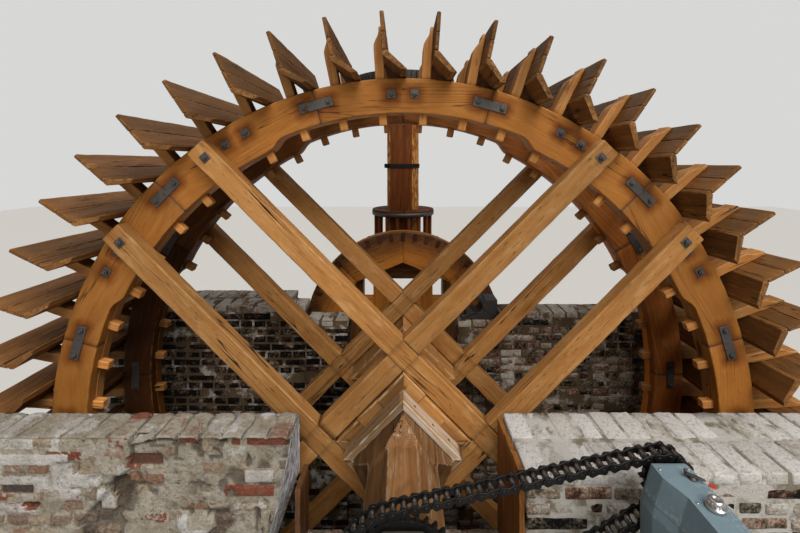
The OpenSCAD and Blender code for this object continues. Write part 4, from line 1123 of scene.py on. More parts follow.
def brick_row(leaf, i, edges, r0, r1, height, middle_z, look):
    """the bricks between the edges in course i; r0 and r1 bound the row across the wall"""
    along_x, b0, thick = leaf
    rows = []
    for k in range(len(edges) - 1):
        at_end = k in (0, len(edges) - 2)
        e0 = edges[k] + (JOINT / 2 if k > 0 else 0)
        e1 = edges[k + 1] - (JOINT / 2 if k < len(edges) - 2 else 0)
        long = e1 - e0 - rng.uniform(0, 0.006)
        back = rng.uniform(0.0, 0.007) if rng.random() < 0.8 else rng.uniform(0.007, 0.022)
        if rng.random() < look["missing"] and i > 0:
            continue
        deep = r1 - r0 - back
        off = back / 2 if r0 - b0 < 1e-6 else -back / 2
        if thick >= 0.16 and i % 2 == 0:
            off = rng.uniform(-0.003, 0.003)
            deep = r1 - r0 - 0.006 - back * 0.6
        yaw = rng.normal(0, 0.006)
        if at_end:
            yaw = 0.0
            long = e1 - e0 - 0.002
        tilt = rng.normal(0, 0.004 if i else 0.007)
        high = height - rng.uniform(0, 0.006)
        cz = middle_z - (rng.uniform(0, 0.006) if i == 0 else rng.uniform(-0.002, 0.002))
        lime = look["top"] * rng.uniform(0.75, 1.15) if i == 0 else look["face"] * rng.uniform(0.2, 1.7)
        tone = [rng.random() ** (1.25 if look["sooty"] else 1.0), lime, rng.random()]
        ca, cb = (e0 + e1) / 2, (r0 + r1) / 2 + off
        if along_x:
            rows.append([ca, cb, cz, long, deep, high, yaw, tilt, *tone])
        else:
            rows.append([cb, ca, cz, deep, long, high, yaw, 0.0, *tone])
    return rows


def course_plan(i, thick):
    """the rows across the wall, from its near face, and the pitch of the bricks along it"""
    header = i % 2 == 0
    pitch = (BRICK_WIDE if header else BRICK_LONG) + JOINT
    if header or thick < 0.16:
        return [(0, thick)], pitch
    half = (thick - JOINT) / 2
    return [(0, half), (thick - half, thick)], pitch


def wall(name, node, leaves, core, top, fine=0, top_lime=0.7, face_lime=0.35, missing=0.015, sooty=False):
    """courses of headers and stretchers laid on each leaf, down from the top, round one core of mortar"""
    look = {"top": top_lime, "face": face_lime, "missing": missing, "sooty": sooty}
    stone, mortar = Part(), Part()
    near_top, below = [], []
    for x0, x1, y0, y1 in leaves:
        along_x = x1 - x0 > BRICK_WIDE + 1e-6
        (a0, a1), (b0, b1) = ((x0, x1), (y0, y1)) if along_x else ((y0, y1), (x0, x1))
        for i in range(int(math.ceil(top / COURSE))):
            height = min(BRICK_HIGH, top - i * COURSE)
            if height < 0.03:
                continue
            rows, pitch = course_plan(i, b1 - b0)
            count = max(1, int(round((a1 - a0) / pitch)))
            edges = np.linspace(a0, a1, count + 1)
            if i % 2 and count > 1:
                edges[1:-1] += pitch / 4 if (i // 2) % 2 else -pitch / 4
            middle_z = top - i * COURSE - height / 2
            for r0, r1 in rows:
                row = brick_row((along_x, b0, b1 - b0), i, edges, b0 + r0, b0 + r1, height, middle_z, look)
                (near_top if i < fine else below).extend(row)
    lay(stone, near_top, FINE, 0.009, 0.0032)
    lay(stone, below, PLAIN, 0.007, 0.0026)
    stone.make("bricks_" + name, M_BRICK, "root", "brick", [node])
    x0, x1, y0, y1 = core
    inset = 0.007
    lo, hi = (x0 + inset, y0 + inset, 0.002), (x1 - inset, y1 - inset, top - 0.006)
    mortar_core(mortar, lo, hi, (0.5, top_lime * 0.6, 0.5))
    mortar.make("mortar_" + name, M_SOOTY_MORTAR if sooty else M_MORTAR, "root", "brick", [node])


def plan(x0, x1, y0, y1):
    return (x0, x1, y0 + WHEEL_Y, y1 + WHEEL_Y)


def two_leaves(x0, x1, y0, y1):
    mid = (y0 + y1) / 2
    return [plan(x0, x1, y0, mid - JOINT / 2), plan(x0, x1, mid + JOINT / 2, y1)]


WALL_TOP = AXLE_Z + 0.300
FLOOR_TOP = AXLE_Z + PIER_TOP
LOW_TOP = AXLE_Z + 0.311
FRONT_FACE, FRONT_THIN, FRONT_THICK = -0.707, -0.957, -1.217
REAR_FACE, REAR_THIN, REAR_THICK = 0.707, 0.957, 1.217
REAR_GAP, REAR_STEP, BACK_STEP = 0.540, 0.960, 1.155
SILL = GAP - HAIRLINE


def front_walls():
    thin = plan(-WALL, -GAP, FRONT_THIN, FRONT_FACE)
    wall("front_left", "front_wall_left", [thin], thin, WALL_TOP - 11 * COURSE, 0, 0.5, 0.50, 0.02)
    thick = (GAP, WALL, FRONT_THICK, FRONT_FACE)
    wall("front_right", "front_wall_right", two_leaves(*thick), plan(*thick), WALL_TOP, 6, 1.15, 0.42)
    sill = (-SILL, SILL, FRONT_THICK, FRONT_FACE)
    wall("front_sill", "front_sill", two_leaves(*sill), plan(*sill), FLOOR_TOP, 1, 0.4, 0.3)


def rear_wall(name, node, x0, x1, top, fine, top_lime, face_lime, missing, core=None,
              y0=REAR_FACE, y1=REAR_THIN):
    """one leaf; its core may reach a little further than its bricks, into the next wall"""
    leaf = plan(x0, x1, y0, y1)
    wall(name, node, [leaf], core or leaf, top, fine, top_lime, face_lime, missing, True)


def rear_walls():
    left, right = "rear_wall_left", "rear_wall_right"
    seam = JOINT / 2
    rear_wall("rear_left", left, -WALL, -REAR_STEP, WALL_TOP + 0.155, 4, 0.60, 0.06, 0.015)
    rear_wall("rear_left_back", left, -WALL, -BACK_STEP, WALL_TOP + 0.155, 1, 0.55, 0.30, 0.01,
              plan(-WALL, -BACK_STEP, REAR_THIN - 0.080, REAR_THICK), REAR_THIN + JOINT, REAR_THICK)
    rear_wall("rear_left_low", left, -REAR_STEP + seam, -REAR_GAP, LOW_TOP, 3, 0.70, 0.10, 0.01,
              plan(-REAR_STEP - 0.02, -REAR_GAP, REAR_FACE, REAR_THIN))
    rear_wall("rear_right", right, REAR_STEP, WALL, WALL_TOP + 0.095, 3, 0.55, 0.30, 0.015)
    rear_wall("rear_right_low", right, REAR_GAP, REAR_STEP - seam, LOW_TOP, 3, 0.50, 0.30, 0.01,
              plan(REAR_GAP, REAR_STEP + 0.02, REAR_FACE, REAR_THIN))
    sill = plan(-REAR_GAP + HAIRLINE, REAR_GAP - HAIRLINE, REAR_FACE, REAR_THIN)
    wall("rear_sill", "rear_sill", [sill], sill, FLOOR_TOP, 1, 0.4, 0.3)


def piers():
    """solid cores with half-brick skins; the front one's back stands against the wall and has no skin"""
    x0, x1, y0, y1 = -0.520, 1.572, -(1.417 + 0.060 + 0.560 + 0.060), FRONT_THICK - HAIRLINE
    side = (y0 + BRICK_WIDE + JOINT, y1)
    skins = [plan(x0, x1, y0, y0 + BRICK_WIDE), plan(x0, x0 + BRICK_WIDE, *side),
             plan(x1 - BRICK_WIDE, x1, *side)]
    wall("front_pier", "front_pier", skins, plan(x0, x1, y0, y1), FLOOR_TOP, 0, 0.3, 0.3)
    x, y0, y1 = 0.760, 1.570, SHAFT_Y + 0.190
    skins = [plan(-x, x, y0, y0 + BRICK_WIDE), plan(-x, x, y1 - BRICK_WIDE, y1)]
    wall("tail_pier", "tail_pier", skins, plan(-x, x, y0, y1), FLOOR_TOP, 0, 0.3, 0.3)


front_walls()
rear_walls()
piers()


# The ragged front wall on the left

TABLE = np.random.default_rng(7).random((32, 32, 32))


def value_noise(p, freq, shift=0.0):
    """smooth value noise, 0 to 1"""
    q = np.asarray(p) * freq + shift
    i = np.floor(q).astype(int)
    f = q - i
    f = f * f * (3 - 2 * f)
    out = 0.0
    for corner in ((x, y, z) for x in (0, 1) for y in (0, 1) for z in (0, 1)):
        near = np.where(corner, f, 1 - f)
        at = (i + corner) % 32
        out = out + near[:, 0] * near[:, 1] * near[:, 2] * TABLE[at[:, 0], at[:, 1], at[:, 2]]
    return out


def fractal(p, freq, shift=0.0):
    return (0.5 * value_noise(p, freq, shift) + 0.3 * value_noise(p, freq * 2.1, shift + 5)
            + 0.2 * value_noise(p, freq * 4.3, shift + 11))


def pick(k, c, which):
    """a random number of brick k in course c"""
    return TABLE[(k * 7 + which * 5) % 32, (c * 11 + which) % 32, (k + c * 3 + which * 13) % 32]


def ease(x, lo, hi):
    t = np.clip((x - lo) / (hi - lo), 0, 1)
    return t * t * (3 - 2 * t)


def brick_field(p, u, v, courses, marks=()):
    """depth behind the face, and tone, of old brickwork half hidden by smeared mortar; v grows downwards"""
    u2 = u + 0.022 * (value_noise(p, 9, 3) - 0.5)
    v2 = v + 0.016 * (value_noise(p, 7, 9) - 0.5) + 0.006 * (value_noise(p, 25, 1) - 0.5)
    header, bed = BRICK_WIDE + JOINT, COURSE - JOINT
    c = np.floor(v2 / COURSE).astype(int) if courses else np.zeros(len(u), int)
    pitch = np.where(c % 2 == 0, header, header * 2)
    shift = np.where((c // 2) % 2 == 0, 0.0, header / 2)
    in_bed = np.minimum(v2 - c * COURSE, bed - (v2 - c * COURSE)) if courses else np.full(len(u), 0.06)
    k = np.floor((u2 + shift) / pitch).astype(int)
    t = u2 + shift - k * pitch
    edge = np.minimum(np.minimum(t, pitch - t) - 0.005, in_bed)
    r1, r2, r3 = pick(k, c, 0), pick(k, c, 1), pick(k, c, 2)
    tone = np.where(r2 < 0.14, 0.25 * r1, 0.36 + 0.56 * r1)
    back = 0.007 + 0.024 * r2 ** 2
    white = np.where(r3 > 0.72, 0.9, 0.25 * r3)
    bare = np.zeros(len(u))
    for x0, x1, z0, z1, colour, deep, pale in marks:
        hit = (u > x0) & (u < x1) & (v > z0) & (v < z1)
        tone[hit], back[hit], white[hit], bare[hit] = colour, deep, pale, 1.0
        inside = np.minimum(np.minimum(u - x0, x1 - u), np.minimum(v - z0, z1 - v))
        edge[hit] = inside[hit]
    nose = 0.011 * (1 - np.clip(edge / 0.012, 0, 1)) ** 2
    chip = 0.022 * ease(fractal(p, 11, 4), 0.60, 0.74)
    brick = back + nose + chip * (1 - 0.6 * bare) + 0.005 * value_noise(p, 45, 2)
    brick = np.where(edge > 0, brick, 9.0)
    mortar = 0.002 + 0.042 * ease(fractal(p, 4.2, 6), 0.54, 0.82) + 0.008 * value_noise(p, 38, 8)
    mortar = mortar + 0.012 * value_noise(p, 15, 3) + 0.030 * bare
    opened = (edge <= 0.001) & (r3 < 0.30) & (bare < 0.5)
    opened = np.where(opened, 0.016 * ease(value_noise(p, 20, 7), 0.35, 0.6), 0.0)
    return np.minimum(brick, mortar + opened), np.stack([tone, mortar < brick, white], axis=1)


# Bricks that show on the face: from x, to x, from depth, to depth, colour, how deep they lie, how white
SHOWING = ((-0.992, -0.940, 0.012, 0.070, 0.16, 0.010, 0.0), (-0.900, -0.657, 0.008, 0.072, 0.10, 0.004, 0.0),
           (-0.940, -0.700, 0.300, 0.366, 0.12, 0.002, 0.05),
           (-0.915, -0.720, 0.205, 0.290, 0.60, 0.001, 1.2),
           (-0.980, -0.740, 0.392, 0.448, 0.60, 0.006, 1.1), (-1.062, -1.015, 0.004, 0.052, 0.99, 0.016, 0.0),
           (-1.160, -1.106, 0.002, 0.110, 0.64, 0.004, 0.2), (-1.545, -1.430, 0.004, 0.052, 0.34, 0.030, 0.1),
           (-1.575, -1.394, 0.122, 0.182, 0.14, 0.026, 0.1), (-1.410, -1.320, 0.002, 0.045, 0.99, 0.024, 0.0),
           (-2.105, -2.000, 0.000, 0.062, 0.62, 0.002, 0.4), (-2.290, -2.105, 0.270, 0.330, 0.97, 0.020, 0.1),
           (-1.930, -1.728, 0.205, 0.290, 0.60, 0.000, 1.2), (-2.300, -1.900, 0.098, 0.165, 0.60, 0.002, 1.0),
           (-1.745, -1.650, 0.300, 0.440, 0.60, 0.004, 1.1), (-1.150, -1.030, 0.170, 0.235, 0.55, 0.004, 0.5))
# Hollows in the face: x, depth, half length, half height, how deep
HOLLOWS = ((-2.085, 0.062, 0.014, 0.030, 0.03), (-2.12, 0.395, 0.060, 0.022, 0.05),
           (-1.93, 0.155, 0.050, 0.012, 0.035), (-1.86, 0.185, 0.016, 0.040, 0.035),
           (-0.895, 0.160, 0.016, 0.040, 0.03), (-0.84, 0.475, 0.020, 0.060, 0.05),
           (-1.075, 0.455, 0.070, 0.016, 0.045), (-1.125, 0.500, 0.030, 0.030, 0.05),
           (-2.02, 0.250, 0.012, 0.05, 0.03), (-1.75, 0.225, 0.045, 0.010, 0.035),
           (-2.5, 0.30, 0.05, 0.02, 0.04), (-2.75, 0.16, 0.02, 0.05, 0.04))


def rubble_front(p, x, v):
    """depth and tone of the face towards the viewer"""
    d, tone = brick_field(p, x, v, True, SHOWING)
    # left of the break the face stands proud
    line = -1.569 + 0.02 * (fractal(p, 12, 2) - 0.5) - 0.9 * np.clip(v - 0.19, 0, 0.3)
    d = d * 0.75 + 0.034 * ease(x, line - 0.006, line + 0.006)
    d = d + 0.075 * ease(0.052 - np.hypot((x + 1.622) * 0.9, (v - 0.315) * 0.55), 0.0, 0.014)
    for cx, cv, rx, rv, deep in HOLLOWS:
        round_it = 1.0 - np.hypot((x - cx) / rx, (v - cv) / rv) + 0.5 * (value_noise(p, 40, 5) - 0.5)
        d = d + deep * ease(round_it, 0.0, 0.35)
    # a smooth smear of grey mortar
    flat = ease(0.075 - np.hypot((x + 1.19) * 0.62, v - 0.515), 0.0, 0.02)
    d = d * (1 - flat) + 0.010 * flat
    tone[:, 1] = np.maximum(tone[:, 1], flat)
    # painted shade: the deep hollows are darkened
    crevice = ease(d, 0.036, 0.058)
    tone[:, 2] = tone[:, 2] * (1 - crevice) - crevice
    return d + 0.015 * (1 - np.clip(v / 0.032, 0, 1)) ** 2, tone


def rubble_top(p, x, y, front, back):
    """a course on edge under smeared mortar, its bricks rounded at the back"""
    shifted = p + (1, 5, 0)
    d, tone = brick_field(shifted, x, y, False)
    t = np.abs((x + 0.022 * (value_noise(shifted, 9, 3) - 0.5)) / (BRICK_WIDE + JOINT) % 1.0 - 0.5) * 2
    far = np.clip((y - (back - 0.055)) / 0.055, 0, 1)
    near = np.clip((front + 0.030 - y) / 0.030, 0, 1)
    d = d * 0.36 + far ** 2 * (0.003 + 0.030 * t ** 4) + 0.014 * near ** 2 + 0.022 * t ** 10
    d = d + 0.030 * ease(x, -1.575, -1.562) * ease(-y, 0.86, 0.93) * ease(-x, 1.42, 1.52)
    tone[:, 1] = np.maximum(tone[:, 1], 0.62) - 0.45 * ease(value_noise(p, 3.1, 2), 0.55, 0.72)
    # painted shade: the grooves between the rounded bricks are darkened through a white value below 0
    groove = ease(t, 0.84, 0.95) * (0.4 + 0.6 * ease(value_noise(p, 14, 3), 0.35, 0.55))
    white = tone[:, 2] * 0.5 + 0.9 * ease(value_noise(p, 4.7, 8), 0.55, 0.72)
    tone[:, 2] = white * (1 - groove) - groove
    return d, tone


def rubble_notch(z, frac):
    """how far the plastered end is worn back at height z; frac is 0 at its front edge and 1 at its back"""
    low = np.clip(0.300 - z, 0, 2)
    at_front = 0.115 * (low / 0.515) ** 1.15
    at_back = 0.016 + np.where(z < -0.067, 0.37 * (-0.067 - z), 0.0)
    return (at_front * (1 - frac) + at_back * frac) * (1 - ease(-z, 0.46, 0.53))


def rubble_wall():
    """the upper part of the left front wall: each face cut back by its own depths"""
    x0, x1, y0, y1, z0, z1 = -WALL, -GAP, FRONT_THIN, FRONT_FACE, -0.530, 0.300
    p, quads = grid_block((x0, y0, z0), (x1, y1, z1), np.array((0.0125, 0.0125, 0.0128)))
    x, y, z = p.T
    v = z1 - z
    tone = np.tile((0.0, 1.0, 0.0), (len(p), 1))
    out = p.copy()
    front, back, top = np.isclose(y, y0), np.isclose(y, y1), np.isclose(z, z1)
    left, end = np.isclose(x, x0), np.isclose(x, x1)
    d, marks = rubble_front(p, x, v)
    out[:, 1] += np.where(front, d, 0)
    tone[front] = marks[front]
    d, marks = brick_field(p + (4, 3, 2), x, v, True)
    out[:, 1] -= np.where(back, d * 0.6, 0)
    tone[back & ~front] = marks[back & ~front]
    d, marks = rubble_top(p, x, y, y0, y1)
    out[:, 2] -= np.where(top, d, 0)
    on_top = top & ~front & ~back
    tone[on_top] = marks[on_top]
    # the plastered end; the neighbouring columns give way with it, so that no strip folds over
    notch = rubble_notch(z, (y - y0) / (y1 - y0))
    ripple = 0.010 * value_noise(p * (1, 1.0, 0.35), 40, 1) + 0.012 * value_noise(p * (1, 1, 0.4), 16, 6)
    out[:, 0] -= np.where(end, 0.003 + notch + ripple, notch * np.clip(1 - (x1 - x) / 0.20, 0, 1))
    tone[end] = (0.5, 1.6, 0.8)
    # the far end has a header to each course
    d, marks = brick_field(p + (7, 2, 6), y, v, True)
    out[:, 0] += np.where(left, 0.002 + d, 0)
    on_left = left & ~front & ~back & ~top
    tone[on_left] = marks[on_left]
    part = Part()
    out = out + from_wheel(0, 0, 0)
    part.add(out, out, tone, quads)
    part.make("rubble_front_left", M_RUBBLE, "root", "brick", ["front_wall_left"])


rubble_wall()


# Lining boards and the bridge

def lining_boards():
    """upright boards on both sides of the gap, darker towards the foot, the left ones darker than the right
    """
    part = Part()
    left, right = (-1, 0.250, 2, 0.430, 0.55, -0.4), (1, 0.510, 3, 0.730, 0.25, 0.4)
    for side, thick, count, high, stain_and_shade, rnd in (left, right):
        board = (thick - 0.035) / count
        x0, x1 = sorted((side * SILL, side * 0.588))
        for k in range(count):
            y0 = FRONT_FACE - thick + 0.020 + board * k
            section = (x0, x1, y0, y0 + board - 0.0015)
            top = PIER_TOP + high - 0.012 - 0.009 * k
            beam(part, frame_up(0, 0), PIER_TOP + HAIRLINE, top, section, 0.003, 0.003, 0.07,
                 lambda x: stain_and_shade + 0.3 * max(0.0, -x), rnd)
    part.make("lining_boards", M_ORANGE, "root", "pale_wood", ["gap_lining"])


def bridge():
    posts, cross = Part(), Part()
    under = BEAM_TOP - 0.210
    post = (-0.110, 0.110, -0.110, 0.110)
    for x in (-0.600, 0.600):
        beam(posts, frame_up(x, SHAFT_Y), PIER_TOP + HAIRLINE, under - HAIRLINE, post, 0.003, 0.006)
    posts.make("bridge_post_timbers", M_AXLE, "root", "oak", ["bridge_posts"])
    beam(cross, frame_along_x(0, SHAFT_Y, 0), -0.776, 0.776, (-0.130, 0.130, under, BEAM_TOP), 0.003, 0.006)
    cross.make("bridge_beam_timber", M_AXLE, "root", "oak", ["bridge_beam"])


lining_boards()
bridge()


# Irons on the wheel

def prism(part, place, outline, x0, x1, bevel):
    """a plate of that outline in the frame's y and z, from x0 to x1, with its edges broken"""
    o = np.array(outline)
    before, after = o - np.roll(o, 1, axis=0), np.roll(o, -1, axis=0) - o
    before = before / np.maximum(np.linalg.norm(before, axis=1, keepdims=True), 1e-9)
    after = after / np.maximum(np.linalg.norm(after, axis=1, keepdims=True), 1e-9)
    out = np.stack([before[:, 1] + after[:, 1], -(before[:, 0] + after[:, 0])], axis=1)
    out /= np.maximum(np.linalg.norm(out, axis=1, keepdims=True), 1e-9)
    inset, deeper = o - out * bevel, o - out * bevel * 2.2
    rings = [(x0, deeper), (x0, inset), (x0 + bevel, o), (x1 - bevel, o), (x1, inset), (x1, deeper)]
    sec = np.stack([np.concatenate([np.full((len(o), 1), x), r], axis=1) for x, r in rings])
    part.sweep(sec, place, np.full(len(o), 0.5), None, (0, 0, 0))


def turned(part, place, rows, n=16, at=(0.0, 0.0)):
    """a turned piece; rows of (x, radius)"""
    part.sweep(tube(rows, n, at), place, np.full(n, 0.5), None, (0, 0, 0))


def square(half_y, half_z, radius, jitter=0.0, turn=0.0, middle=0.0):
    """a rectangle with rounded corners, turned, its middle out along y"""
    out = []
    c, s = math.cos(turn), math.sin(turn)
    for sy, sz, a0 in ((1, -1, -90), (1, 1, 0), (-1, 1, 90), (-1, -1, 180)):
        jy, jz = random.uniform(-jitter, jitter), random.uniform(-jitter, jitter)
        for a in (math.radians(a0 + step) for step in (0, 45, 90)):
            y = sy * (half_y - radius) + jy + radius * math.cos(a)
            z = sz * (half_z - radius) + jz + radius * math.sin(a)
            out.append((middle + y * c - z * s, y * s + z * c))
    return out


def nut(part, place, y, z, x0, wide, high, sides=4, bolt=0.011):
    """a nut with its bolt's end through it, turned at random"""
    turn = random.uniform(0, 1.5)
    r = wide / 2 / math.cos(math.pi / sides)
    corners = [2 * math.pi * (i + 0.5) / sides + turn for i in range(sides)]
    prism(part, place, [(y + r * math.cos(a), z + r * math.sin(a)) for a in corners], x0, x0 + high, 0.0018)
    top = x0 + high
    end = [(top - 0.001, bolt * 0.8), (top + 0.007, bolt * 0.8), (top + 0.009, bolt * 0.55)]
    turned(part, place, end, 12, (y, z))


def strap_plates():
    """plates over the rims' joints, and the washers and bolts of rims and arms"""
    plates, nuts = Part(), Part()
    joint_r = 0.955 * RIM
    strap = (0.033, 0.119, 0.004, 0.0012, 0.0, joint_r)
    rivet = [(-R_IN + 0.006, 0.017), (-R_IN + 0.010, 0.016), (-R_IN + 0.015, 0.011), (-R_IN + 0.0165, 0.004)]

    def washer(place, face, middle, turn):
        outline = square(0.029, 0.029, 0.003, 0.0, turn, middle)
        prism(plates, place, outline, face + HAIRLINE, face + 0.0055, 0.0014)
        nut(nuts, place, middle, 0, face + 0.0055, 0.030, 0.017)

    for side in (-1, 1):
        for k in range(12):
            place = frame_face(math.radians(15 + 30 * k), side)
            prism(plates, place, square(*strap), R_OUT + HAIRLINE, R_OUT + 0.0063, 0.0014)
            for z in (-0.088, 0.088):
                nut(nuts, place, joint_r + random.uniform(-0.003, 0.003), z, R_OUT + 0.006, 0.027, 0.013)
            # those between the rims, over the inner joints
            place = frame_face(math.radians(30 * k), -side)
            prism(plates, place, square(*strap), -R_IN + HAIRLINE, -R_IN + 0.0063, 0.0014)
            for z in (-0.088, 0.088):
                turned(nuts, place, rivet, 14, (joint_r, z))
            for da in (-2, 2):
                turn = random.uniform(-0.12, 0.12)
                washer(frame_face(math.radians(30 * k + da), side), R_OUT, joint_r, turn)
        # the bolts that hold the arms to the rims
        for slant in (-SLANT, SLANT):
            for off in (-ARM_OFF, ARM_OFF):
                for along in (-2.276, 2.276):
                    th = slant + math.atan2(off, along)
                    turn = slant - math.atan2(math.sin(th), math.cos(th)) + random.uniform(-0.1, 0.1)
                    washer(frame_face(th, side), ARM_F, math.hypot(along, off), turn)
    plates.make("wheel_strap_plates", M_IRON, "wheel", "wrought_iron", ["rim_straps"])
    nuts.make("wheel_nuts_and_bolts", M_IRON, "wheel", "wrought_iron", ["rim_straps"])


def screws_and_nails():
    """screws of the battens on the axle, and nails of the float boards"""
    part = Part()
    screw = [(0.2630, 0.0095), (0.2654, 0.0095), (0.2662, 0.008), (0.2650, 0.003)]
    nail = [(0.0600, 0.0055), (0.0622, 0.0050), (0.0630, 0.0025)]
    for y in (-0.659, ARM_F + 0.056):
        for k in range(4):
            for z in (-0.150, 0.005, 0.160):
                at = (y + random.uniform(-0.006, 0.006), z + random.uniform(-0.012, 0.012))
                turned(part, frame_radial(math.radians(45 + 90 * k)), screw, 12, at)
    for k in range(FLOATS):
        for mid in (-RIM_MID, RIM_MID):
            for rad in (KINK + 0.030, KINK + 0.088, TIP - 0.105, TIP - 0.035):
                for dy in (-0.032, 0.032):
                    at = (mid + dy + random.uniform(-0.006, 0.006), rad + random.uniform(-0.006, 0.006))
                    turned(part, frame_tangent(float_angle(k)), nail, 6, at)
    part.make("wheel_screws_and_nails", M_IRON, "wheel", "wrought_iron")


strap_plates()
screws_and_nails()


# The roller chain

CHAIN_R, MOTOR_R, MOTOR_X, MOTOR_Z = 0.300, 0.105, 1.172, 0.452
CHAIN_Y, PITCH = -1.417, 0.0508
APART, RISE = math.hypot(MOTOR_X, MOTOR_Z), math.atan2(MOTOR_Z, MOTOR_X)
LEAN = math.asin((CHAIN_R - MOTOR_R) / APART)
RUN = APART * math.cos(LEAN)
WRAP_AXLE = (math.pi + 2 * LEAN) * CHAIN_R
WRAP_MOTOR = (math.pi - 2 * LEAN) * MOTOR_R
CHAIN_LENGTH = WRAP_AXLE + WRAP_MOTOR + 2 * RUN
LINKS = 2 * round(CHAIN_LENGTH / PITCH / 2)


def chain_at(s):
    """a point of the chain's path, in a frame whose x runs from the axle's sprocket to the motor's"""
    c, d = math.cos(LEAN), math.sin(LEAN)
    if s < WRAP_AXLE:
        a = -math.pi / 2 + LEAN - s / CHAIN_R
        return CHAIN_R * math.cos(a), CHAIN_R * math.sin(a)
    s -= WRAP_AXLE
    if s < RUN:
        t = s / RUN
        return d * CHAIN_R * (1 - t) + (APART + d * MOTOR_R) * t, c * (CHAIN_R * (1 - t) + MOTOR_R * t)
    s -= RUN
    if s < WRAP_MOTOR:
        a = math.pi / 2 - LEAN - s / MOTOR_R
        return APART + MOTOR_R * math.cos(a), MOTOR_R * math.sin(a)
    t = (s - WRAP_MOTOR) / RUN
    return (APART + d * MOTOR_R) * (1 - t) + d * CHAIN_R * t, -c * (MOTOR_R * (1 - t) + CHAIN_R * t)


def link_outline(d):
    """two round eyes joined by a waist"""
    eye, waist, n = 0.021, 0.0125, 10
    ends = [math.radians(-78 + 156 * i / (n - 1)) for i in range(n)]
    right = [(d + eye * math.cos(a), eye * math.sin(a)) for a in ends]
    left = [(-eye * math.cos(a), -eye * math.sin(a)) for a in ends]
    return [*right, (d * 0.5, waist), *left, (d * 0.5, -waist)]


def chain():
    outer, inner, rollers = Part(), Part(), Part()
    roller = [(-0.0248, 0.0145), (-0.0235, 0.016), (0.0235, 0.016), (0.0248, 0.0145)]
    pin = [(-0.0453, 0.0055), (-0.0448, 0.0085), (-0.0425, 0.010)]
    pin += [(-x, r) for x, r in pin[::-1]]
    for i in range(LINKS):
        x0, z0 = chain_at((i + 0.01) * CHAIN_LENGTH / LINKS)
        x1, z1 = chain_at(((i + 1) % LINKS + 0.01) * CHAIN_LENGTH / LINKS)
        d = math.hypot(x1 - x0, z1 - z0)
        c, s = math.cos(RISE), math.sin(RISE)
        # x towards the viewer, y along the link, z across it
        start = (x0 * c - z0 * s, CHAIN_Y, x0 * s + z0 * c)
        place = frame_face(math.atan2(z1 - z0, x1 - x0) + RISE, -1, start)
        plates, rods, near, sides, rod = (inner, rollers, 0.025, 20, roller)
        if i % 2:
            plates, rods, near, sides, rod = (outer, outer, 0.0333, 14, pin)
        for x in (near, -near - 0.008):
            prism(plates, place, link_outline(d), x, x + 0.008, 0.0016)
        for y in (0.0, d):
            turned(rods, place, rod, sides, (y, 0))
    outer.make("chain_outer_links", M_CHAIN, "root", "chain_steel", ["drive_chain"])
    inner.make("chain_inner_links", M_CHAIN, "root", "chain_steel", ["drive_chain"])
    rollers.make("chain_rollers", M_ROLLER, "root", "chain_steel", ["drive_chain"])


chain()


# The drive housing

HOUSE_X, HOUSE_W, HOUSE_BACK, HOUSE_L, HOUSE_TOP = MOTOR_X - 0.139, 0.300, -1.477, 0.560, 0.549
HOUSE_LOW = PIER_TOP + 0.090 + HAIRLINE


def housing_shift(y):
    """the front part of the housing is set over to the right"""
    return 0.036 * min(max((HOUSE_BACK - 0.087 - y) / 0.097, 0.0), 1.0)


def housing_outline(y):
    left, right, top = HOUSE_X + housing_shift(y), HOUSE_X + HOUSE_W, HOUSE_TOP
    return [(left, HOUSE_LOW), (left, top - 0.150), (left + 0.047, top), (right - 0.104, top),
            (right - 0.014, top - 0.090), (right, top - 0.240), (right, HOUSE_LOW)]


def lid_outline(y):
    """a closed strip between two skins over the top of the housing and the upper part of its sides"""
    left, right, top = HOUSE_X + housing_shift(y), HOUSE_X + HOUSE_W, HOUSE_TOP

    def skin(g):
        return [(left + 0.0120 - g, top - 0.112), (left + 0.047 - g * 0.7, top + g),
                (right - 0.104 + g * 0.3, top + g), (right - 0.014 + g * 0.8, top - 0.090 + g * 0.5),
                (right - 0.008 + g, top - 0.125)]

    return skin(0.0024) + skin(0.0002)[::-1]


def housing_stations(inset, bevel, n):
    """places along the housing, closer where it is set over"""
    y0, y1 = HOUSE_BACK - HOUSE_L + inset, HOUSE_BACK - inset
    bends = [HOUSE_BACK - d for d in (0.085, 0.089, 0.182, 0.186)]
    ys = [*np.linspace(y0, y1, n), y0 + bevel, y1 - bevel, *bends]
    return np.array(sorted(set(round(y, 5) for y in ys)))


def housing():
    sheet, lid = Part(), Part()
    ys = housing_stations(0.0, 0.003, 20)
    c = np.array([housing_outline(y) for y in ys])[:, ::-1, ::-1]
    r, edge = ring(shrink_ends(c, 0.002), 0.0035, 0.008)
    sheet.sweep(straight(ys, r), frame_along_y(), edge, None, (0, 0, 0))
    sheet.make("housing_sheet", M_PAINT, "root", "grey_paint", ["drive_housing"])
    ys = housing_stations(0.012, 0.0025, 18)
    c = np.array([lid_outline(y) for y in ys])[:, :, ::-1]
    lid.sweep(straight(ys, c), frame_along_y(), np.tile([1.0, 0.2], 5), None, (0, 0, 0))
    ob = lid.make("housing_lid", M_PAINT, "root", "grey_paint", ["drive_housing"], smooth=False)
    bevel_edges(ob, "folds", 0.0012, 25)


def bevel_edges(ob, name, width, angle):
    bevel = ob.modifiers.new(name, "BEVEL")
    bevel.width = width
    bevel.segments = 2
    bevel.limit_method = "ANGLE"
    bevel.angle_limit = math.radians(angle)
    return bevel


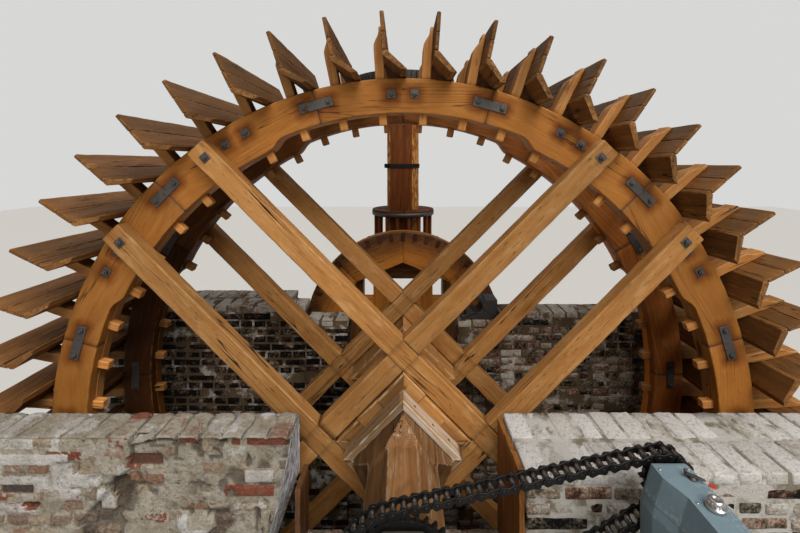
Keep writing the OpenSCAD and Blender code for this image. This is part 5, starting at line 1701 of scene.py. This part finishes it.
def housing_screws():
    part = Part()
    rows = ((0.0022, 0.0065), (0.0042, 0.0062), (0.0056, 0.0040), (0.0058, 0.001))
    for y in (HOUSE_BACK - d for d in (0.04, 0.21, 0.37, 0.52)):
        for x in (HOUSE_X + housing_shift(y) + 0.062, HOUSE_X + HOUSE_W - 0.116):
            turned(part, frame_up(x, y), [(HOUSE_TOP + h, r) for h, r in rows], 12)
    part.make("housing_screws", M_STEEL, "root", "cast_iron")


def housing_latch():
    """the lever latch and its red tab"""
    lever, tab = Part(), Part()
    x, y, top = HOUSE_X + 0.165, HOUSE_BACK - 0.092, HOUSE_TOP
    foot = [(top + 0.002, 0.017), (top + 0.006, 0.017), (top + 0.008, 0.014), (top + 0.013, 0.013),
            (top + 0.014, 0.006)]
    turned(lever, frame_up(x, y), foot, 18)
    slanted = frame_up(x, y, math.radians(-38))
    blade = [(-0.030, -0.005), (-0.026, -0.010), (0.012, -0.009), (0.040, -0.004)]
    blade = [*blade, (0.044, 0.0), *((y, -z) for y, z in blade[::-1])]
    prism(lever, slanted, blade, top + 0.013, top + 0.019, 0.0012)
    knob = [(top + 0.019, 0.006), (top + 0.026, 0.006), (top + 0.030, 0.007), (top + 0.033, 0.004)]
    turned(lever, frame_up(x - 0.020, y + 0.015), knob, 12)
    lever.make("housing_latch_lever", M_IRON, "root", "cast_iron", ["housing_latch"])
    half = [(0.052, -0.010), (0.074, -0.010), (0.078, -0.006)]
    prism(tab, slanted, half + [(y, -z) for y, z in half[::-1]], top + 0.0024, top + 0.0058, 0.0010)
    tab.make("housing_red_tab", M_RED, "root", "cast_iron")


def filler_cap():
    """the turned cap with its grip ribs"""
    part = Part()
    x, y = HOUSE_X + HOUSE_W - 0.150, HOUSE_BACK - 0.234
    rows = ((0.0022, 0.030), (0.004, 0.034), (0.013, 0.034), (0.0145, 0.0325), (0.0165, 0.027),
            (0.034, 0.026), (0.038, 0.024), (0.0403, 0.019), (0.0403, 0.012), (0.036, 0.010))
    turned(part, frame_up(x, y), [(HOUSE_TOP + h, r) for h, r in rows], 28)
    rib = [(0.0245, -0.0022), (0.0285, -0.0016), (0.0285, 0.0016), (0.0245, 0.0022)]
    for k in range(14):
        prism(part, frame_up(x, y, 2 * math.pi * k / 14), rib, HOUSE_TOP + 0.018, HOUSE_TOP + 0.034, 0.0005)
    part.make("housing_filler_cap", M_STEEL, "root", "cast_iron", ["housing_cap"])


housing()
housing_screws()
housing_latch()
filler_cap()


# Castings that keep their CAD form, and their bolts

def dress(name, mat, width):
    ob = nodes[name]
    ob.data.materials.clear()
    ob.data.materials.append(mat)
    ob.modifiers.new("joined", "WELD").merge_threshold = 0.00005
    bevel_edges(ob, "cast_edge", width, 35).use_clamp_overlap = True
    ob.modifiers.new("shade", "WEIGHTED_NORMAL").keep_sharp = False
    ob.data.polygons.foreach_set("use_smooth", [True] * len(ob.data.polygons))


for name, width in (("front_bearing", 0.004), ("rear_bearing", 0.004), ("footstep_bearing", 0.003),
                    ("old_bearing", 0.004), ("crown_gear", 0.003), ("housing_base", 0.003)):
    dress(name, M_CAST, width)
for name in ("axle_sprocket", "motor_sprocket"):
    dress(name, M_CHAIN, 0.0015)
dress("axle_gudgeons", M_IRON, 0.003)
dress("axle_hoops", M_IRON, 0.0015)
dress("shaft_hoops", M_CHAIN, 0.0015)
dress("motor_shaft", M_STEEL, 0.002)


def bearing_bolts():
    part = Part()
    for y in (AXLE_FRONT - 0.150, AXLE_REAR + 0.95 * 0.130):
        for x in (-0.208, 0.208):
            nut(part, frame_up(x, y), 0, 0, PIER_TOP + 0.0605, 0.040, 0.024, 6, 0.014)
    part.make("bearing_bolts", M_IRON, "root", "wrought_iron")


def shaft_hoop_lugs():
    """the two bolted lugs of the upright shaft's middle hoop, on its front left corner"""
    part = Part()
    a = math.radians(225)
    out = np.array([math.cos(a), math.sin(a), 0])
    along = np.array([math.sin(a), -math.cos(a), 0])
    place = (np.stack([along, out, np.cross(along, out)], axis=1), from_wheel(0, SHAFT_Y, 0))
    lug = [(0.257, 1.848), (0.299, 1.846), (0.305, 1.840), (0.305, 1.806), (0.299, 1.800), (0.257, 1.798)]
    for x in (-0.012, 0.004):
        prism(part, place, lug, x, x + 0.008, 0.0012)
    nut(part, place, 0.281, 1.823, 0.012, 0.026, 0.013)
    nut(part, place, 0.281, 1.823, -0.025, 0.020, 0.013)
    part.make("shaft_hoop_lugs", M_CHAIN, "upright", "wrought_iron")


bearing_bolts()
shaft_hoop_lugs()


# Camera, light and floor

PICTURE_WIDE, EYE_COLUMN, HORIZON_ROW = 800.0, 403.0, 162.9


def camera():
    cam = bpy.data.cameras.new("camera")
    ob = bpy.data.objects.new("camera", cam)
    bpy.context.scene.collection.objects.link(ob)
    cam.sensor_width = 36.0
    cam.lens = 18.0
    cam.shift_y = (HORIZON_ROW - 266.5) / PICTURE_WIDE
    cam.shift_x = (400.0 - EYE_COLUMN) / PICTURE_WIDE
    cam.clip_start = 0.05
    ob.location = (0.0, -3.223 + WHEEL_Y, 4.7587)
    ob.rotation_euler = (math.pi / 2, 0, 0)
    bpy.context.scene.camera = ob
    bpy.context.scene.view_settings.view_transform = "Standard"


def sun(name, towards, strength, angle, color):
    light = bpy.data.lights.new(name, "SUN")
    light.energy = strength
    light.angle = math.radians(angle)
    light.color = color
    ob = bpy.data.objects.new(name, light)
    bpy.context.scene.collection.objects.link(ob)
    ob.rotation_euler = Vector(towards).to_track_quat("Z", "Y").to_euler()


def studio():
    """a dim even light, and a paler backdrop that only the camera sees"""
    world = bpy.data.worlds.new("studio")
    bpy.context.scene.world = world
    world.use_nodes = True
    tree = world.node_tree
    light = tree.nodes["Background"]
    backdrop = tree.nodes.new("ShaderNodeBackground")
    dim, pale = ((0.80, 0.79, 0.77, 1), 0.16), ((0.80, 0.80, 0.79, 1), 0.85)
    for node, (color, strength) in ((light, dim), (backdrop, pale)):
        node.inputs[0].default_value = color
        node.inputs[1].default_value = strength
    path = tree.nodes.new("ShaderNodeLightPath")
    mixer = tree.nodes.new("ShaderNodeMixShader")
    tree.links.new(path.outputs["Is Camera Ray"], mixer.inputs[0])
    tree.links.new(light.outputs[0], mixer.inputs[1])
    tree.links.new(backdrop.outputs[0], mixer.inputs[2])
    tree.links.new(mixer.outputs[0], tree.nodes["World Output"].inputs[0])


def floor(half=40.0, z=-0.002):
    me = bpy.data.meshes.new("floor")
    corners = [(-half, -half, z), (half, -half, z), (half, half, z), (-half, half, z)]
    me.from_pydata(corners, [], [(0, 1, 2, 3)])
    ob = bpy.data.objects.new("floor", me)
    bpy.context.scene.collection.objects.link(ob)
    me.materials.append(Graph("floor_paint").finish((0.56, 0.555, 0.545), 0.8))


camera()
sun("key", (0.40, -0.50, 0.95), 2.3, 48, (1.0, 0.97, 0.93))
sun("front", (0.05, -0.85, 0.60), 1.50, 35, (1.0, 0.93, 0.83))
sun("back", (-0.10, 0.70, 0.80), 0.5, 40, (1.0, 0.98, 0.96))
studio()
floor()
